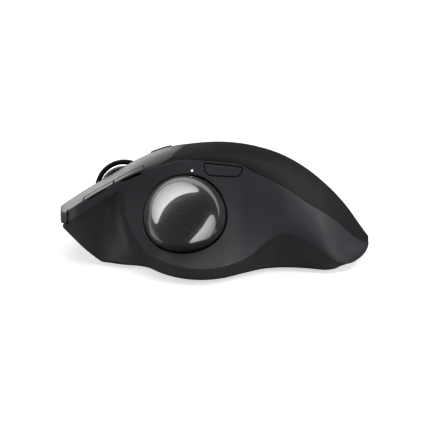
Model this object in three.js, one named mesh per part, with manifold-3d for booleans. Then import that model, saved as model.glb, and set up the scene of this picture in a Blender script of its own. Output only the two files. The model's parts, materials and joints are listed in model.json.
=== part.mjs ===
// Thumb-operated trackball mouse, millimetres, +Z up, resting on z = 0.
// The front with the buttons points to -X, the thumb side with the ball to -Y.
import * as THREE from 'three';
import { mergeVertices } from 'three/addons/utils/BufferGeometryUtils.js';
import Module from 'manifold-3d';

const wasm = await Module();
wasm.setup();

// ---------------------------------------------------------------- driving dimensions
const NOSE_X = -66.3;
const NOSE_FLAT_X = -66.27; // the shells end here in a small upright flat
const TAIL_X = 66.2;
const MIDDLE_Y = { nose: 2, tail: 3 }; // where the two flanks meet at each end
const NOSE_ROUND_X = -56; // plan rounding of the nose starts here
const TAIL_ROUND_X = 44;
const WALL = 2;
const FLOOR_Z = 1.5; // underside of the body above the desk
const SEAM = 0.22; // half the gap between two shell pieces
const RUN = 0.35; // side clearance round a moving key
const MITRE_REACH = 4; // distance over which a wall turns to its corner mitre

const CLICK = { x: -19, angle: THREE.MathUtils.degToRad(0.6) }; // flexing line and travel of the main buttons
const LIP_END = -62.5; // the left button's front lip ends here
const LIP_NOTCH = 0.4; // extra gap below the lip
const PANEL_FRONT = -61.6; // front end of the thumb panel
const SHELL_FRONT = -65; // front end of the lower shell, below the lip

const BALL = { centre: new THREE.Vector3(-12.5, -28.6, 24.3), radius: 17 };
const BALL_AXIS = new THREE.Vector3(-0.06, -0.8, 0.59).normalize(); // out of the socket
const BALL_OPENING = 17.4;
const CUP = { inner: 17.8, outer: 19.8, rim: -4.6 };
const BEARING_RADIUS = 1.2;
const SENSOR_AXIS = new THREE.Vector3(0, 0.94, -0.34).normalize();

const CANT = THREE.MathUtils.degToRad(15); // scroll wheel and top keys lean with the top
const WHEEL = { centre: new THREE.Vector3(-39, 5.1, 27.6), radius: 12.7, width: 5.4 };
const PIVOT_DROP = 13.6; // wheel centre down to the side-tilt pivot

const BOARD_Z = 8;
const BOARD_THICK = 1.2;
const BOARD_TOP = BOARD_Z + BOARD_THICK;
const DECK_Z = 26;
const DECK_THICK = 1.6;
const PLATE = { bottom: 0.5, top: 1.3 };
const HINGE = { y: 34.6, z: 2 };

// ---------------------------------------------------------------- body guide curves
// Each row is [x, y, z]. The six curves run nose to tail round one body section.
const GUIDES = {
  leftFloor: [[-66.3, -14, 14.3], [-63, -14.5, 13.1], [-60.5, -15, 11.5], [-54, -17, 6.2],
    [-47.4, -17.8, 1.5], [-38.6, -21.7, 1.5], [-31, -24, 1.5], [-28, -26, 1.5], [-22.5, -33.8, 1.5],
    [-16, -40.2, 1.5], [-7, -43.8, 1.5], [3, -41.3, 1.5], [12, -33.8, 1.5], [20, -27.8, 1.5],
    [28, -25.8, 1.5], [38, -27, 1.5], [46, -29.5, 1.5], [56, -28, 2.2], [66.2, -26, 4]],
  shelfEdge: [[-66.3, -21, 15.6], [-60.9, -21, 19.6], [-52.2, -21, 25.5], [-43.8, -21, 30.7],
    [-40.5, -21.2, 32.2], [-37.8, -23, 24.8], [-35.8, -26, 20.2], [-33.2, -30, 16.4],
    [-30.3, -34.5, 13.2], [-23.4, -42, 10], [-14.7, -47, 8.2], [-6, -48.3, 7.3], [2, -46, 7.5],
    [13.8, -36.5, 9.3], [22, -31, 14.5], [28, -29, 16.9], [33.9, -29.5, 15.5], [41.7, -31, 11.4],
    [49, -31.5, 6.1], [54.2, -31.5, 3.6], [61.1, -31.5, 3.8], [66.2, -31.5, 5.2]],
  crease: [[-66.3, -20, 20.2], [-60, -20, 25.2], [-52.2, -20, 30.4], [-43.8, -20, 35.2],
    [-35.4, -20, 39.7], [-22.9, -19, 44.6], [-14.6, -18, 46.9], [-6.3, -18, 48.2], [2, -18, 48.6],
    [10.3, -18, 47.3], [18.6, -18, 44.7], [27, -18, 40], [35.4, -18, 34], [43.9, -18, 27.1],
    [52.4, -17, 19], [60, -15, 11.2], [66.2, -14, 5.6]],
  ridge: [[-66.3, -2, 21], [-64.4, -1, 22.6], [-60.7, 0, 25.1], [-57, 1, 27.4], [-52.2, 2, 30.1],
    [-45.8, 3, 33.7], [-40, 3, 37.2], [-35.8, 3, 39.8], [-30.5, 4, 42.4], [-20.2, 5, 46.1],
    [-9.9, 5, 47.8], [3.8, 5, 48.5], [17.5, 5, 46.6], [31.2, 5, 41.7], [45, 5, 32.2],
    [57.2, 4, 19.6], [62.3, 4, 12.4], [66.2, 3, 7.2]],
  rightEdge: [[-66.3, 29, 15.8], [-56, 31, 15.8], [-40, 36, 16], [-20, 43, 16], [0, 48, 15.5],
    [15, 50, 14.5], [30, 49.5, 12.5], [44, 46, 9.5], [56, 43, 6.5], [66.2, 41, 5.2]],
  rightFloor: [[-66.3, 24, 14.3], [-63, 24.5, 13.1], [-60.5, 25, 11.5], [-54, 27, 6.2], [-47.4, 29, 1.5],
    [-30, 34, 1.5], [-10, 41, 1.5], [10, 45, 1.5], [30, 44.5, 1.5], [44, 41, 1.5], [56, 37, 2.2],
    [66.2, 35, 4]],
};
// [x, slope of the thumb surface at the shelf edge, at the crease, crease radius]
const THUMB_SHAPE = [[-66.3, 84, 80, 0.8], [-43, 84, 84, 0.8], [-38, 68, 83, 1.1], [-33, 50, 80, 1.4],
  [-26, 40, 74, 1.7], [-8, 36, 66, 2.2], [10, 42, 68, 3.2], [20, 58, 66, 5.2], [28, 68, 60, 7],
  [36, 74, 52, 9], [46, 82, 46, 10], [56, 84, 44, 7], [66.2, 85, 44, 1.5]];
// Height of the seam between thumb panel and palm cover behind the left button.
const SEAM_HEIGHT = [[-29, 42.4], [-23, 44.5], [-12, 46.2], [-4, 45.9], [4, 45.3], [11, 44.1],
  [14.5, 42], [22.9, 37.9], [31.1, 33.3], [39.5, 27.5], [48.2, 21.7], [53, 17.4], [60, 10.4], [66.2, 5.5]];

// Cubic curve through rows of [x, ...values], with slopes that suit uneven spacing.
function curveAt(rows, x) {
  const last = rows.length - 2;
  let i = 0;
  while (i < last && x > rows[i + 1][0]) i += 1;
  const rise = (k, c) => (rows[k + 1][c] - rows[k][c]) / (rows[k + 1][0] - rows[k][0]);
  const slope = (k, c) => {
    if (k === 0) return rise(0, c);
    if (k === rows.length - 1) return rise(k - 1, c);
    const before = rows[k][0] - rows[k - 1][0];
    const after = rows[k + 1][0] - rows[k][0];
    return (rise(k - 1, c) * after + rise(k, c) * before) / (before + after);
  };
  const width = rows[i + 1][0] - rows[i][0];
  const t = THREE.MathUtils.clamp((x - rows[i][0]) / width, 0, 1);
  return rows[i].slice(1).map((start, k) => {
    const c = k + 1;
    const end = rows[i + 1][c];
    return (2 * t ** 3 - 3 * t * t + 1) * start + (t ** 3 - 2 * t * t + t) * width * slope(i, c)
      + (3 * t * t - 2 * t ** 3) * end + (t ** 3 - t * t) * width * slope(i + 1, c);
  });
}

// Guide point at x, squeezed in plan towards the middle at the rounded nose and tail.
function guide(name, x) {
  let [y, z] = curveAt(GUIDES[name], x);
  if (x > TAIL_ROUND_X) {
    const s = Math.min(1, (x - TAIL_ROUND_X) / (TAIL_X - TAIL_ROUND_X));
    y = MIDDLE_Y.tail + (y - MIDDLE_Y.tail) * Math.sqrt(1 - s * s);
  }
  if (x < NOSE_ROUND_X) {
    const s = Math.min(1, (NOSE_ROUND_X - x) / (NOSE_ROUND_X - NOSE_X));
    y = MIDDLE_Y.nose + (y - MIDDLE_Y.nose) * (1 - s ** 2.3) ** (1 / 2.3);
  }
  return new THREE.Vector3(x, y, name.endsWith('Floor') ? Math.max(FLOOR_Z, z) : z);
}

const heading = (degrees) => {
  const a = THREE.MathUtils.degToRad(degrees);
  return new THREE.Vector3(0, Math.cos(a), Math.sin(a));
};

const bezier = (a, b, c, d, t) => new THREE.CubicBezierCurve3(a, b, c, d).getPoint(t);

// The five curved stretches of the section at x, each from one guide curve to the next.
const stretches = [
  (x, t) => { // left skirt, undercut below the shelf
    const a = guide('leftFloor', x);
    const b = guide('shelfEdge', x);
    const span = a.distanceTo(b);
    const depth = THREE.MathUtils.clamp((b.z - a.z) / 14, 0, 1);
    const rise = heading(90 - 12 * depth).multiplyScalar(0.34 * span);
    const tuck = heading(160 - 28 * depth).multiplyScalar(0.3 * span);
    return bezier(a, a.clone().add(rise), b.clone().sub(tuck), b, t);
  },
  (x, t) => { // thumb surface
    const a = guide('shelfEdge', x);
    const b = guide('crease', x);
    const span = 0.33 * a.distanceTo(b);
    const [low, high] = curveAt(THUMB_SHAPE, x);
    const c = a.clone().addScaledVector(heading(low), span);
    return bezier(a, c, b.clone().addScaledVector(heading(high), -span), b, t);
  },
  (x, t) => { // top, left of the ridge
    const a = guide('crease', x);
    const b = guide('ridge', x);
    const span = 0.36 * a.distanceTo(b);
    const base = THREE.MathUtils.radToDeg(Math.atan2(b.z - a.z, b.y - a.y));
    const c = a.clone().addScaledVector(heading(base + (base + 15) * 0.55), span);
    return bezier(a, c, b.clone().addScaledVector(heading(-15), -span), b, t);
  },
  (x, t) => { // top, right of the ridge
    const a = guide('ridge', x);
    const b = guide('rightEdge', x);
    const out = 0.55 * (b.y - a.y);
    const drop = 0.52 * (a.z - b.z);
    const c = a.clone().add(new THREE.Vector3(0, out, -out * Math.tan(CANT)));
    return bezier(a, c, b.clone().add(new THREE.Vector3(0, -0.14 * drop, drop)), b, t);
  },
  (x, t) => { // right skirt
    const a = guide('rightEdge', x);
    const b = guide('rightFloor', x);
    const span = a.distanceTo(b);
    const c = a.clone().addScaledVector(heading(-96), 0.35 * span);
    return bezier(a, c, b.clone().addScaledVector(heading(-108), -0.35 * span), b, t);
  },
];

// Outer surface. v runs round the section: 0 left floor, 1 shelf edge, 2 crease, 3 ridge,
// 4 right edge, 5 right floor, and back along the floor to 6.
function surface(x, v) {
  if (v > 6) return surface(x, v - 6);
  if (v >= 5) return guide('rightFloor', x).lerp(guide('leftFloor', x), v - 5);
  const crease = guide('crease', x);
  const radius = curveAt(THUMB_SHAPE, x)[2];
  const below = Math.min(0.45, radius / Math.max(0.01, crease.distanceTo(guide('shelfEdge', x))));
  const above = Math.min(0.45, radius / Math.max(0.01, crease.distanceTo(guide('ridge', x))));
  if (v > 2 - below && v < 2 + above) {
    const round = new THREE.QuadraticBezierCurve3(
      stretches[1](x, 1 - below), crease, stretches[2](x, above));
    return round.getPoint((v - 2 + below) / (below + above));
  }
  const k = Math.min(4, Math.floor(v));
  return stretches[k](x, v - k);
}

// Outward normal, taken on one side of a corner line when side is -1 or +1.
function normalAt(x, v, side = 0) {
  if (x <= NOSE_X + 1e-6) return new THREE.Vector3(-1, 0, 0);
  if (x >= TAIL_X - 1e-6) return new THREE.Vector3(1, 0, 0);
  const dx = 0.01;
  const dv = 0.004;
  const v0 = side > 0 ? v : v - dv;
  const v1 = side < 0 ? v : v + dv;
  const mid = (v0 + v1) / 2;
  const along = surface(x + dx, mid).sub(surface(x - dx, mid));
  const round = surface(x, v1).sub(surface(x, v0));
  return along.cross(round).normalize();
}

// Vector from the outer surface to the inside of the wall, mitred at the corner lines.
function inward(x, v) {
  const ends = Math.min(x - NOSE_X, TAIL_X - x);
  const wall = WALL * THREE.MathUtils.lerp(0.4, 1, THREE.MathUtils.smoothstep(ends, 0, 9));
  const corner = [1, 2, 4, 5, 6, 7].reduce((a, b) => (Math.abs(b - v) < Math.abs(a - v) ? b : a));
  const away = surface(x, v).distanceTo(surface(x, corner));
  const side = Math.sign(corner - v);
  const own = normalAt(x, v, side || -1);
  const turn = 1 - THREE.MathUtils.smoothstep(away, 0, MITRE_REACH);
  if (turn === 0) return own.multiplyScalar(-wall);
  const one = normalAt(x, corner, -1);
  const mitre = one.clone().add(normalAt(x, corner, 1)).normalize();
  const reach = wall / Math.max(0.5, mitre.dot(one));
  return own.multiplyScalar(-wall).lerp(mitre.multiplyScalar(-reach), turn);
}

// v moved round the section by a distance in millimetres.
function shifted(x, v, distance) {
  const dv = 0.01;
  const clear = THREE.MathUtils.clamp(x, NOSE_X + 0.6, TAIL_X - 0.6);
  const speed = surface(clear, v + dv).distanceTo(surface(clear, v)) / dv;
  return v + distance / speed;
}

// v of the thumb surface or crease at a height.
function vAtHeight(x, z) {
  let low = 1.2;
  let high = 2.2;
  for (let i = 0; i < 24; i += 1) {
    const mid = (low + high) / 2;
    if (surface(x, mid).z < z) low = mid;
    else high = mid;
  }
  return (low + high) / 2;
}

const FRONT_RAIL_END = SEAM_HEIGHT[0][0];
const thumbTop = (x) => (x < FRONT_RAIL_END ? 2 : Math.min(2, vAtHeight(x, curveAt(SEAM_HEIGHT, x)[0])));

// ---------------------------------------------------------------- solids
function solid(geometry) {
  const bare = geometry.clone();
  bare.deleteAttribute('normal');
  bare.deleteAttribute('uv');
  const merged = mergeVertices(bare, 1e-5);
  const index = [...merged.index.array];
  const triangles = [];
  for (let i = 0; i < index.length; i += 3) {
    const [a, b, c] = index.slice(i, i + 3);
    if (a !== b && b !== c && c !== a) triangles.push(a, b, c);
  }
  return new wasm.Manifold(new wasm.Mesh({
    numProp: 3,
    vertProperties: merged.attributes.position.array,
    triVerts: new Uint32Array(triangles),
  }));
}

function geometryOf(body) {
  const mesh = body.getMesh();
  const geometry = new THREE.BufferGeometry();
  geometry.setAttribute('position', new THREE.BufferAttribute(new Float32Array(mesh.vertProperties), 3));
  geometry.setIndex(new THREE.BufferAttribute(new Uint32Array(mesh.triVerts), 1));
  geometry.computeVertexNormals();
  return geometry;
}

const join = (first, ...others) => others.reduce((whole, piece) => whole.add(piece), first);
const cut = (first, ...others) => others.reduce((whole, piece) => whole.subtract(piece), first);

// A frame with its Z along one direction and its X as near to another as it can be.
function frameAt(origin, zAxis, xHint = new THREE.Vector3(1, 0, 0)) {
  const y = new THREE.Vector3().crossVectors(zAxis, xHint).normalize();
  const x = new THREE.Vector3().crossVectors(y, zAxis).normalize();
  return new THREE.Matrix4().makeBasis(x, y, zAxis.clone().normalize()).setPosition(origin);
}

const boxSpan = (x0, x1, y0, y1, z0, z1) => new THREE.BoxGeometry(x1 - x0, y1 - y0, z1 - z0)
  .translate((x0 + x1) / 2, (y0 + y1) / 2, (z0 + z1) / 2);

// Cylinder about the local Z axis between two heights.
function rod(radius, z0, z1, sides = 16) {
  return new THREE.CylinderGeometry(radius, radius, z1 - z0, sides)
    .rotateX(Math.PI / 2).translate(0, 0, (z0 + z1) / 2);
}

// Straight prism between two heights over an outline of [x, y] points.
function prism(outline, z0, z1) {
  const shape = new THREE.Shape(outline.map(([x, y]) => new THREE.Vector2(x, y)));
  return new THREE.ExtrudeGeometry(shape, { depth: z1 - z0, bevelEnabled: false }).translate(0, 0, z0);
}

function roundedBar(x0, x1, y0, y1, radius) {
  const points = [];
  const corners = [[x1 - radius, y0 + radius, -90], [x1 - radius, y1 - radius, 0],
    [x0 + radius, y1 - radius, 90], [x0 + radius, y0 + radius, 180]];
  corners.forEach(([x, y, start]) => {
    for (let k = 0; k <= 3; k += 1) {
      const a = THREE.MathUtils.degToRad(start + 30 * k);
      points.push([x + radius * Math.cos(a), y + radius * Math.sin(a)]);
    }
  });
  return points;
}

// Wall patch over columns xs, between two lines of v, with its inner face along inward().
function wallPatch(xs, vAt, shares) {
  const rows = shares.length;
  const outer = [];
  const inner = [];
  xs.forEach((x) => shares.forEach((share) => {
    const v = vAt(x, share);
    const point = surface(x, v);
    outer.push(point);
    inner.push(point.clone().add(inward(x, v)));
  }));
  const points = [...outer, ...inner];
  const faces = [];
  const quad = (a, b, c, d) => faces.push(a, b, c, a, c, d);
  const depth = outer.length;
  const at = (i, j) => i * rows + j;
  for (let i = 0; i < xs.length - 1; i += 1) {
    for (let j = 0; j < rows - 1; j += 1) {
      quad(at(i, j), at(i + 1, j), at(i + 1, j + 1), at(i, j + 1));
      quad(depth + at(i, j), depth + at(i, j + 1), depth + at(i + 1, j + 1), depth + at(i + 1, j));
    }
    quad(at(i, 0), depth + at(i, 0), depth + at(i + 1, 0), at(i + 1, 0));
    const j = rows - 1;
    quad(at(i, j), at(i + 1, j), depth + at(i + 1, j), depth + at(i, j));
  }
  const end = xs.length - 1;
  for (let j = 0; j < rows - 1; j += 1) {
    quad(at(0, j), at(0, j + 1), depth + at(0, j + 1), depth + at(0, j));
    quad(at(end, j), depth + at(end, j), depth + at(end, j + 1), at(end, j + 1));
  }
  const geometry = new THREE.BufferGeometry();
  const flat = new Float32Array(points.flatMap((p) => [p.x, p.y, p.z]));
  geometry.setAttribute('position', new THREE.BufferAttribute(flat, 3));
  geometry.setIndex(faces);
  return solid(geometry);
}

// Columns between stations, each [x, number of columns up to the next station].
function columns(stations) {
  const xs = [];
  stations.forEach(([x, count], i) => {
    if (i === stations.length - 1) {
      xs.push(x);
      return;
    }
    const next = stations[i + 1][0];
    for (let k = 0; k < count; k += 1) {
      let t = k / count;
      if (x === NOSE_FLAT_X) t = 1 - Math.cos(t * Math.PI / 2);
      if (next === TAIL_X) t = Math.sin(t * Math.PI / 2);
      xs.push(x + (next - x) * t);
    }
  });
  return xs;
}

const blend = (low, high) => (x, share) => THREE.MathUtils.lerp(low(x), high(x), share);
const fixed = (v) => () => v;
const besideSeam = (line, distance) => (x) => shifted(x, line(x),
  distance * (1 + THREE.MathUtils.smoothstep(x, 60, 64)));

// ---------------------------------------------------------------- shared outlines
// Rear seam of the two main buttons, from the crease over the ridge to the right flank.
const BUTTON_REAR = [[-30.5, -30], [-27.5, -20.4], [-22.9, -18.7], [-18.8, -16], [-16.6, -11.5],
  [-14, -6], [-11.6, 0], [-10.8, 8], [-12, 17], [-16, 27], [-22, 36], [-28, 46], [-36, 62]];
const BUTTON_SPLIT_Y = 8;
const STRIP = { x0: -54.4, x1: -15.5, y0: 1.8, y1: 13.2, corner: 3 };

// Everything in front of the rear seam, moved along X by a distance.
function buttonZone(distance) {
  const seam = new THREE.SplineCurve(BUTTON_REAR.map(([x, y]) => new THREE.Vector2(x + distance, y)));
  const outline = seam.getPoints(30).map((p) => [p.x, p.y]);
  return solid(prism([[-90, -60], [BUTTON_REAR[0][0] + distance, -60], ...outline, [-90, 62]], -5, 70));
}

// Rounded bar grown on every side by a margin.
const grownBar = (bar, margin) => roundedBar(
  bar.x0 - margin, bar.x1 + margin, bar.y0 - margin, bar.y1 + margin, bar.corner + margin);

const stripZone = (margin) => solid(prism(grownBar(STRIP, margin), 10, 70));

const cantedFrame = (origin) => frameAt(origin, new THREE.Vector3(0, Math.sin(CANT), Math.cos(CANT)));
const wheelFrame = cantedFrame(WHEEL.centre);
const axleFrame = wheelFrame.clone().multiply(new THREE.Matrix4().makeRotationX(-Math.PI / 2));

const surfaceFrame = (x, v) => frameAt(surface(x, v), normalAt(x, v));

// Outline of the precision key in the plane of the thumb surface, x forward to aft.
const PRECISION = { x: 3.4, v: 1.862 };
const precisionOutline = (grow) => {
  const low = -2.7 - grow;
  const high = 2.35 + grow;
  return [[-7.9 - grow, high + 0.2], [-7.3 - grow, 0.4], [-5.6 - grow, -1.6 - grow / 2], [-3.6, low + 0.5],
    [4.6, low], [6.2 + grow, -1.9 - grow / 2], [7.8 + grow, 0.4], [7.9 + grow, high - 0.9]].reverse();
};
const precisionFrame = surfaceFrame(PRECISION.x, PRECISION.v);
const thumbBoard = precisionFrame.clone().multiply(new THREE.Matrix4().makeTranslation(0, 0, -8.6));

// The two side keys sit on the crease at the outer edge of the left button.
const SIDE_KEYS = { forward_button: [-55, -42.6], back_button: [-42.2, -29.8] };
const SIDE_KEY_INNER_Y = -15.6;
const KEY_SHADOW = 1.1; // height of the dark gap below each side key
const KEY_DEPTH = 1.5; // a side key ends this far below the crease
const KEY_STEM_Y = -16.3;
const sideKeyZone = ([x0, x1], margin) => solid(prism(
  [[x0 - margin, -40], [x1 + margin, -40], [x1 + margin, SIDE_KEY_INNER_Y + margin - 1],
    [x1 + margin - 1, SIDE_KEY_INNER_Y + margin], [x0 - margin + 1, SIDE_KEY_INNER_Y + margin],
    [x0 - margin, SIDE_KEY_INNER_Y + margin - 1]], 10, 70));

const MODE_KEY = { x0: -27.6, x1: -18.6, y0: -3, y1: 3, corner: 1.5 };
const modeFrame = cantedFrame(new THREE.Vector3(0, 8, 43));

// ---------------------------------------------------------------- shell pieces
const FULL = [[NOSE_FLAT_X, 5], [LIP_END, 3], [-56, 4], [-42, 7], [-30, 5], [0, 6], [44, 5], [TAIL_X, 0]];
const shares = (n) => Array.from({ length: n + 1 }, (_, k) => k / n);

// How far a main button's edge moves down when it is clicked, with a little room to spare.
const clickDrop = (x) => (x < CLICK.x ? 0.15 + (CLICK.x - x) * Math.tan(CLICK.angle) : 0);

function makeLowerShell() {
  const xs = [SHELL_FRONT, ...columns(FULL).filter((x) => x > SHELL_FRONT + 0.5)];
  const rightEdge = (x) => shifted(x, 4, SEAM + clickDrop(x));
  const leftEdge = (x) => shifted(x, 6.98, -SEAM - (x < LIP_END + 2 ? clickDrop(x) + LIP_NOTCH : 0));
  const right = wallPatch(xs, (x, v) => (v === 4 ? rightEdge(x) : v), [4, 4.25, 4.6, 4.85, 5, 5.08, 5.5]);
  const left = wallPatch(xs, (x, v) => (v === 7 ? leftEdge(x) : v), [5.5, 5.92, 6, 6.15, 6.4, 6.65, 6.85, 7]);
  const posts = BOARD_SCREWS.map(([x, y]) => solid(rod(2.4, 2.5, BOARD_Z - 0.3, 12).translate(x, y, 0)));
  const sockets = FRAME_LEGS.map(([x, y]) => solid(rod(3, 2.5, 6, 12).translate(x, y, 0)));
  const shell = join(right, left, ...posts, ...sockets);
  const pilots = BOARD_SCREWS.map(([x, y]) => solid(rod(1.2, 4.4, 12, 10).translate(x, y, 0)));
  const through = FRAME_LEGS.flatMap(([x, y]) => [
    solid(rod(1.3, 0, 8, 10).translate(x, y, 0)), solid(rod(2.4, 0, 2.9, 12).translate(x, y, 0))]);
  const belowLip = [[NOSE_X - 1, 13.9], [LIP_END + 0.6, 17.9], [LIP_END + 0.6, 30], [NOSE_X - 1, 30]];
  return cut(shell, ...pilots, ...through,
    solid(prism(belowLip, -4, 30).rotateX(Math.PI / 2)),
    solid(boxSpan(HINGE_POCKET.x0, HINGE_POCKET.x1, HINGE_POCKET.y0, HINGE_POCKET.y1, 0, 8)),
    solid(boxSpan(PORT.x0 - 6, PORT.x1, PORT.y0 - 0.4, PORT.y1 + 0.4, PORT.z0 - 0.4, PORT.z1 + 0.4)),
    solid(boxSpan(SWITCH_SLOT.x0, SWITCH_SLOT.x1, SWITCH_SLOT.y0, SWITCH_SLOT.y1, 0, 5)));
}

function makeThumbPanel() {
  const xs = [PANEL_FRONT, ...columns(FULL).filter((x) => x > PANEL_FRONT + 0.5)];
  const low = (x) => shifted(x, 1.01, SEAM);
  const high = besideSeam(thumbTop, -SEAM);
  const panel = wallPatch(xs, blend(low, high), [0, 0.1, 0.25, 0.42, 0.6, 0.76, 0.89, 1]);
  const opening = solid(rod(BALL_OPENING, -8, 14, 36).applyMatrix4(frameAt(BALL.centre, BALL_AXIS)));
  const keyHole = solid(prism(precisionOutline(RUN), -6, 4).applyMatrix4(precisionFrame));
  const lightHole = solid(rod(0.9, -5, 3, 10).applyMatrix4(surfaceFrame(LED.x, LED.v)));
  const relief = Object.values(SIDE_KEYS).map((span) => alongCrease(span, -KEY_SHADOW, 5));
  return cut(panel, opening, keyHole, lightHole, ...relief);
}

// Bar along the crease over one side key, between two heights from the crease. It is drawn in X and Z.
function alongCrease([x0, x1], bottom, top) {
  const height = (x) => guide('crease', x).z;
  const low = x0 - RUN;
  const high = x1 + RUN;
  const outline = [[low, height(low) + bottom], [high, height(high) + bottom],
    [high, height(high) + top], [low, height(low) + top]];
  return solid(prism(outline, 14, 26).rotateX(Math.PI / 2));
}

function topSkin(xs, low) {
  const left = wallPatch(xs, blend(low, fixed(3)), [0, 0.12, 0.3, 0.5, 0.7, 0.86, 1]);
  const flank = (x) => shifted(x, 3.98, -SEAM);
  const right = wallPatch(xs, blend(fixed(3), flank), [0, 0.15, 0.35, 0.6, 0.8, 0.93, 1]);
  return left.add(right);
}

const sameCrease = (x) => (x < LIP_END + 0.2 ? 2 : shifted(x, 2, SEAM));
const FRONT = [[NOSE_FLAT_X, 5], [LIP_END, 3], [-56, 4], [-42, 6], [-30, 5], [-6, 0]];
const frontSkin = topSkin(columns(FRONT), sameCrease);
const bothKeys = sideKeyZone([SIDE_KEYS.forward_button[0], SIDE_KEYS.back_button[1]], RUN);
const splitZone = (y0, y1) => solid(boxSpan(-90, 20, y0, y1, 0, 70));
const post = ([x, y], z) => solid(rod(1.4, z, surface(x, y < 8 ? 2.6 : 3.5).z - 1, 8).translate(x, y, 0));

function makeLeftButton() {
  const lipLow = (x) => shifted(x, 1.01, SEAM);
  const lip = wallPatch(columns([[NOSE_FLAT_X, 5], [LIP_END, 0]]), blend(lipLow, fixed(2.02)), shares(3));
  const plate = frontSkin.add(lip).intersect(buttonZone(-SEAM));
  const left = cut(plate, stripZone(SEAM), splitZone(BUTTON_SPLIT_Y - 0.3, 70), bothKeys);
  return left.add(post(CLICK_SWITCHES.left_click_switch, CLICK_TOP));
}

function makeRightButton() {
  const plate = frontSkin.intersect(buttonZone(-SEAM));
  const right = cut(plate, stripZone(SEAM), splitZone(-60, BUTTON_SPLIT_Y + 0.3));
  return right.add(post(CLICK_SWITCHES.right_click_switch, CLICK_TOP));
}

function makeSideKey(span) {
  const key = cut(frontSkin.intersect(sideKeyZone(span, 0)), alongCrease(span, -8, -KEY_DEPTH));
  const middle = (span[0] + span[1]) / 2;
  const top = guide('crease', middle).z;
  return key.add(solid(rod(0.6, top - SIDE_SWITCH_DROP + 0.6, top - 1, 8).translate(middle, KEY_STEM_Y, 0)));
}

const wheelSlot = solid(prism(roundedBar(-13.6, 8.6, -4.3, 4.3, 2), -6, 30).applyMatrix4(wheelFrame));
const modeHole = (margin) => solid(prism(grownBar(MODE_KEY, margin), -12, 12).applyMatrix4(modeFrame));

const makeScrollBezel = () => cut(frontSkin.intersect(stripZone(-SEAM)), wheelSlot, modeHole(RUN));

function makeModeButton() {
  const cap = frontSkin.intersect(modeHole(0));
  const top = surface(-21.5, 3.04).z;
  return cap.add(solid(rod(0.9, MODE_SWITCH_TOP + 0.7, top - 1, 8).translate(-21.5, 6.6, 0)));
}

function makePalmCover() {
  const xs = columns([[-32, 2], [-28, 5], [0, 8], [44, 6], [TAIL_X, 0]]);
  const skin = topSkin(xs, besideSeam(thumbTop, SEAM));
  const tailFlat = solid(boxSpan(TAIL_X - 0.12, TAIL_X + 4, MIDDLE_Y.tail - 0.5, MIDDLE_Y.tail + 0.5, 0, 20));
  return cut(skin, buttonZone(SEAM), stripZone(SEAM), tailFlat);
}

// ---------------------------------------------------------------- inside parts: places
const BOARD_SCREWS = [[-36, -10], [-28, 20], [15, -1.5], [15, 22]];
const FRAME_LEGS = [[-27, -9.5], [-22, 29.5], [24, -3], [24, 28]];
const CLICK_SWITCHES = { left_click_switch: [-46, -7.6], right_click_switch: [-40, 21.5] };
const CLICK_TOP = BOARD_TOP + 8;
const SIDE_SWITCH_DROP = 4.2; // crease down to the top of a side switch
const MODE_SWITCH_TOP = DECK_Z + DECK_THICK + 4;
const PORT = { x0: -56.2, x1: -49.6, y0: -1, y1: 7.6, z0: BOARD_TOP, z1: BOARD_TOP + 2.9 };
const SWITCH_SLOT = { x0: -45, x1: -36, y0: 10.5, y1: 13.5 };
const HINGE_POCKET = { x0: -6, x1: 26, y0: 31.8, y1: 37.4 };
const LED = { x: -9.6, v: 1.872 };

// ---------------------------------------------------------------- ball unit
const aroundBall = (axis) => frameAt(BALL.centre, axis);

function bearingDirections() {
  return [90, 210, 330].map((degrees) => {
    const a = THREE.MathUtils.degToRad(degrees);
    const side = new THREE.Vector3(Math.cos(a), Math.sin(a), -0.75).normalize();
    return side.transformDirection(aroundBall(BALL_AXIS));
  });
}
const bearingCentre = (direction) => BALL.centre.clone()
  .addScaledVector(direction, BALL.radius + BEARING_RADIUS + 0.05);

function makeBallCup() {
  const profile = [];
  const arc = (radius, from, to, count) => {
    for (let k = 0; k <= count; k += 1) {
      const a = THREE.MathUtils.lerp(from, to, k / count);
      profile.push(new THREE.Vector2(Math.max(0, radius * Math.cos(a)), radius * Math.sin(a)));
    }
  };
  arc(CUP.outer, -Math.PI / 2, Math.asin(CUP.rim / CUP.outer), 5);
  arc(CUP.inner, Math.asin(CUP.rim / CUP.inner), -Math.PI / 2, 5);
  const lathe = new THREE.LatheGeometry(profile, 24).rotateX(Math.PI / 2);
  const bowl = solid(lathe.applyMatrix4(aroundBall(BALL_AXIS)));
  const foot = solid(boxSpan(-16, -9, -37, -21, 3.8, 8));
  const hollow = solid(new THREE.SphereGeometry(CUP.inner + 0.5, 24, 16).translate(...BALL.centre.toArray()));
  const bowlAndFoot = join(bowl, cut(foot, hollow));
  const pockets = bearingDirections().map((d) => {
    const place = bearingCentre(d);
    return solid(new THREE.SphereGeometry(BEARING_RADIUS + 0.2, 10, 6).translate(...place.toArray()));
  });
  const window = solid(rod(3.2, 12, 24, 16).applyMatrix4(aroundBall(SENSOR_AXIS)));
  return cut(bowlAndFoot, ...pockets, window);
}

// ---------------------------------------------------------------- scroll wheel unit
function ring(outer, inner, halfWidth, sides) {
  const corners = [[inner, -halfWidth], [outer, -halfWidth], [outer, halfWidth], [inner, halfWidth]];
  const profile = [...corners, corners[0]].map(([r, h]) => new THREE.Vector2(r, h));
  return new THREE.LatheGeometry(profile, sides).rotateX(Math.PI / 2);
}
const TYRE_INNER = WHEEL.radius - 1.5;
const AXLE_RADIUS = 1;
const onAxle = (geometry) => geometry.applyMatrix4(axleFrame);
const inWheelFrame = (geometry) => geometry.applyMatrix4(wheelFrame);

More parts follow.
